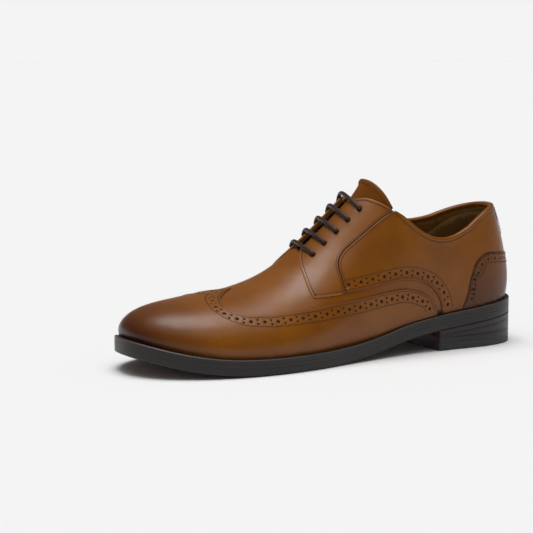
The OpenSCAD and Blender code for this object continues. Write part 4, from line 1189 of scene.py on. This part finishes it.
JOINT = [(0.08, 0), (0.02, 0.03), (0, 0.08)]
JOINT_FOOT = [(0, 0.08), (0.02, 0.03), (0.08, 0)]
ROUND_FOOT = [(0, 1.1), (0.18, 0.5), (0.6, 0.12), (1.1, 0)]
WELT_EDGE = [(0.85, 0), (0.35, 0.12), (0.08, 0.42), (0, 0.8)]
slab("outsole_leather", sole_loop(0), on_sole, OUTSOLE_T, 0, "sole_leather", "outsole", edge=JOINT,
     foot=ROUND_FOOT, thick=OUTSOLE_T, materials=[sole_edge, sole_edge, sole_bottom])
slab("midsole_leather", sole_loop(0), on_sole, OUTSOLE_T + MIDSOLE_T, OUTSOLE_T, "sole_leather", "midsole",
     edge=JOINT, foot=JOINT_FOOT, thick=MIDSOLE_T)
WELT_END, WELT_W = 80.0, 10.0
slab("welt_strip", strip_loop(WELT_END, WELT_W, True), on_sole, SEAT_T, OUTSOLE_T + MIDSOLE_T,
     "sole_leather", "welt", edge=WELT_EDGE, foot=JOINT_FOOT, thick=WELT_T, grid=(3, 3), marks=welt_marks)
slab("heel_rand_strip", strip_loop(WELT_END - 0.05, WELT_W, False), on_sole, SEAT_T, OUTSOLE_T + MIDSOLE_T,
     "sole_leather", "heel_rand", edge=WELT_EDGE, foot=JOINT_FOOT, thick=WELT_T, grid=(3, 3),
     marks=welt_marks)

TOP_PIECE_T, LIFT_T = 5.0, 4.0
NAILS = [(9, 0), (14, 17), (14, -17), (30, 24), (30, -24), (48, 25), (48, -25), (66, 22), (66, -22), (68, 8),
         (68, -8)]
NAIL_HOLE_R = 2.3
turn = np.linspace(0, 2 * math.pi, 24, endpoint=False)
nail_hole = NAIL_HOLE_R * np.stack([np.cos(turn), np.sin(turn)], -1)
nail_holes = [np.array(place) + nail_hole for place in NAILS]
heel = heel_loop(BREAST_X)
slab("top_piece_rubber", heel, on_ground, TOP_PIECE_T, 0, "rubber", "heel_top_piece", edge=JOINT,
     foot=[(0, 0.6), (0.12, 0.2), (0.4, 0)], thick=TOP_PIECE_T, materials=[rubber], holes=nail_holes,
     marks=heel_marks)
slab("lift_1_leather", heel, on_ground, TOP_PIECE_T + LIFT_T, TOP_PIECE_T, "heel_leather", "heel_lift_1",
     edge=JOINT, foot=JOINT_FOOT, thick=LIFT_T, marks=heel_marks)


def lift_plate(name, high, low, node):
    obj = plate(name, heel, on_ground, high, low, [sole_edge], JOINT + [(0.04, 0.9)], (4, 4), (), (),
                heel_marks)
    return finish_piece(obj, "heel_leather", node)


lift_plate("lift_2_leather", lambda c: underside(c[:, 0]) - LIFT_T, TOP_PIECE_T + LIFT_T, "heel_lift_2")
lift_plate("lift_3_leather", lambda c: underside(c[:, 0]), lambda c: underside(c[:, 0]) - LIFT_T,
           "heel_lift_3")

INSOLE_T, SOCK_T, PAD_T, INSOLE_INSET = 2.5, 1.0, 2.5, 9.6


def pad_rise(c):
    """The heel pad thins out towards the arch."""
    return PAD_T * curve([(50, 1), (78, 0)], c[:, 0], True)


def sock_top(c):
    return SEAT_T + INSOLE_T + 0.1 + SOCK_T + pad_rise(c)


sock = plate("sock_leather", sole_loop(INSOLE_INSET + 0.4, 2), on_sole, sock_top,
             lambda c: sock_top(c) - SOCK_T, [calf_lining], CUT, (3.5, 3.5))
finish_piece(sock, "lining_leather", "sock_liner")

PAD_END = 74.0
pad_lines = [cut_line(sole_line(k, INSOLE_INSET + 1.5), PAD_END, False) for k in (1, -1)]
pad_loop = join(pad_lines[0], pad_lines[1][::-1])[:-1]
pad = plate("heel_pad_foam", even_flat(np.vstack([pad_loop, pad_loop[:1]]), 2)[:-1], on_sole,
            lambda c: SEAT_T + INSOLE_T + 0.08 + pad_rise(c),
            SEAT_T + INSOLE_T + 0.05, [foam], [(0.1, 0), (0.03, 0.02), (0, 0.04)], (3.5, 3.5))
finish_piece(pad, "foam", "heel_pad")

# Welt stitches
for side in (1, -1):
    line = even_flat(cut_line(sole_line(side, 2.9), WELT_END + 1, True), 0.9)
    rows["welt"].append((on_sole(line, SEAT_T), np.tile([0.0, 0, 1], (len(line), 1))))

threads("upper_stitches", "upper", thread, "waxed_cord")
threads("tongue_stitches", "tongue", thread, "waxed_cord", body="tongue")
threads("welt_stitches", "welt", thread_dark, "waxed_cord", pitch=3.4, size=2.7, r=0.36)

# ---- CAD nodes that stay ----
KEPT = {"heel_nails": brass, "insole_rib": flesh, "cork_filler": cork, "shank": steel, "insole": flesh,
        "toe_puff": stiff_cloth, "heel_stiffener": stiff_cloth, "lateral_stay": stiff_cloth,
        "medial_stay": stiff_cloth, "aglet_lateral": aglet_film, "aglet_medial": aglet_film}
for node, m in KEPT.items():
    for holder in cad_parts[node].material_slots:
        holder.material = m

# ---- Floor and light ----
FLOOR_WHITE, FLOOR_HALF = 0.92, 40.0
HORIZON, CEILING = 0.905, 0.13
HORIZON_TOP, CEILING_FROM = 0.03, 0.14


def add_floor():
    m = Matter("floor")
    m.set(Base_Color=(FLOOR_WHITE, FLOOR_WHITE, FLOOR_WHITE, 1), Roughness=0.8, Specular_IOR_Level=0.0)
    mesh = bpy.data.meshes.new("floor")
    corners = [(x * FLOOR_HALF, y * FLOOR_HALF, 0) for x, y in ((-1, -1), (1, -1), (1, 1), (-1, 1))]
    mesh.from_pydata(corners, [], [(0, 1, 2, 3)])
    mesh.materials.append(m.material)
    floor = bpy.data.objects.new("floor", mesh)
    bpy.context.scene.collection.objects.link(floor)


def add_world():
    """A pale horizon all round under a dim ceiling."""
    world = bpy.data.worlds.new("studio")
    bpy.context.scene.world = world
    world.use_nodes = True
    tree = Nodes(world.node_tree)
    split = tree.new("ShaderNodeSeparateXYZ")
    tree.link(tree.new("ShaderNodeTexCoord").outputs["Generated"], split.inputs["Vector"])
    sky = world.node_tree.nodes["Background"]
    glow = tree.between(split.outputs["Z"], HORIZON_TOP, CEILING_FROM, HORIZON, CEILING)
    tree.link(glow, sky.inputs["Strength"])
    sky.inputs["Color"].default_value = (1, 1, 1, 1)


def add_sun(name, toward, strength, angle):
    """A wide overhead light, which lights the whole floor evenly."""
    data = bpy.data.lights.new(name, "SUN")
    data.energy, data.angle = strength, math.radians(angle)
    obj = bpy.data.objects.new(name, data)
    bpy.context.scene.collection.objects.link(obj)
    obj.rotation_euler = Vector(toward).to_track_quat("Z", "Y").to_euler()


add_floor()
add_world()
add_sun("overhead_wide", (0.05, 0.05, 1), 0.88, 70)
add_sun("overhead_box", (0, -0.08, 1), 1.79, 36)
bpy.context.scene.view_settings.view_transform = "Standard"
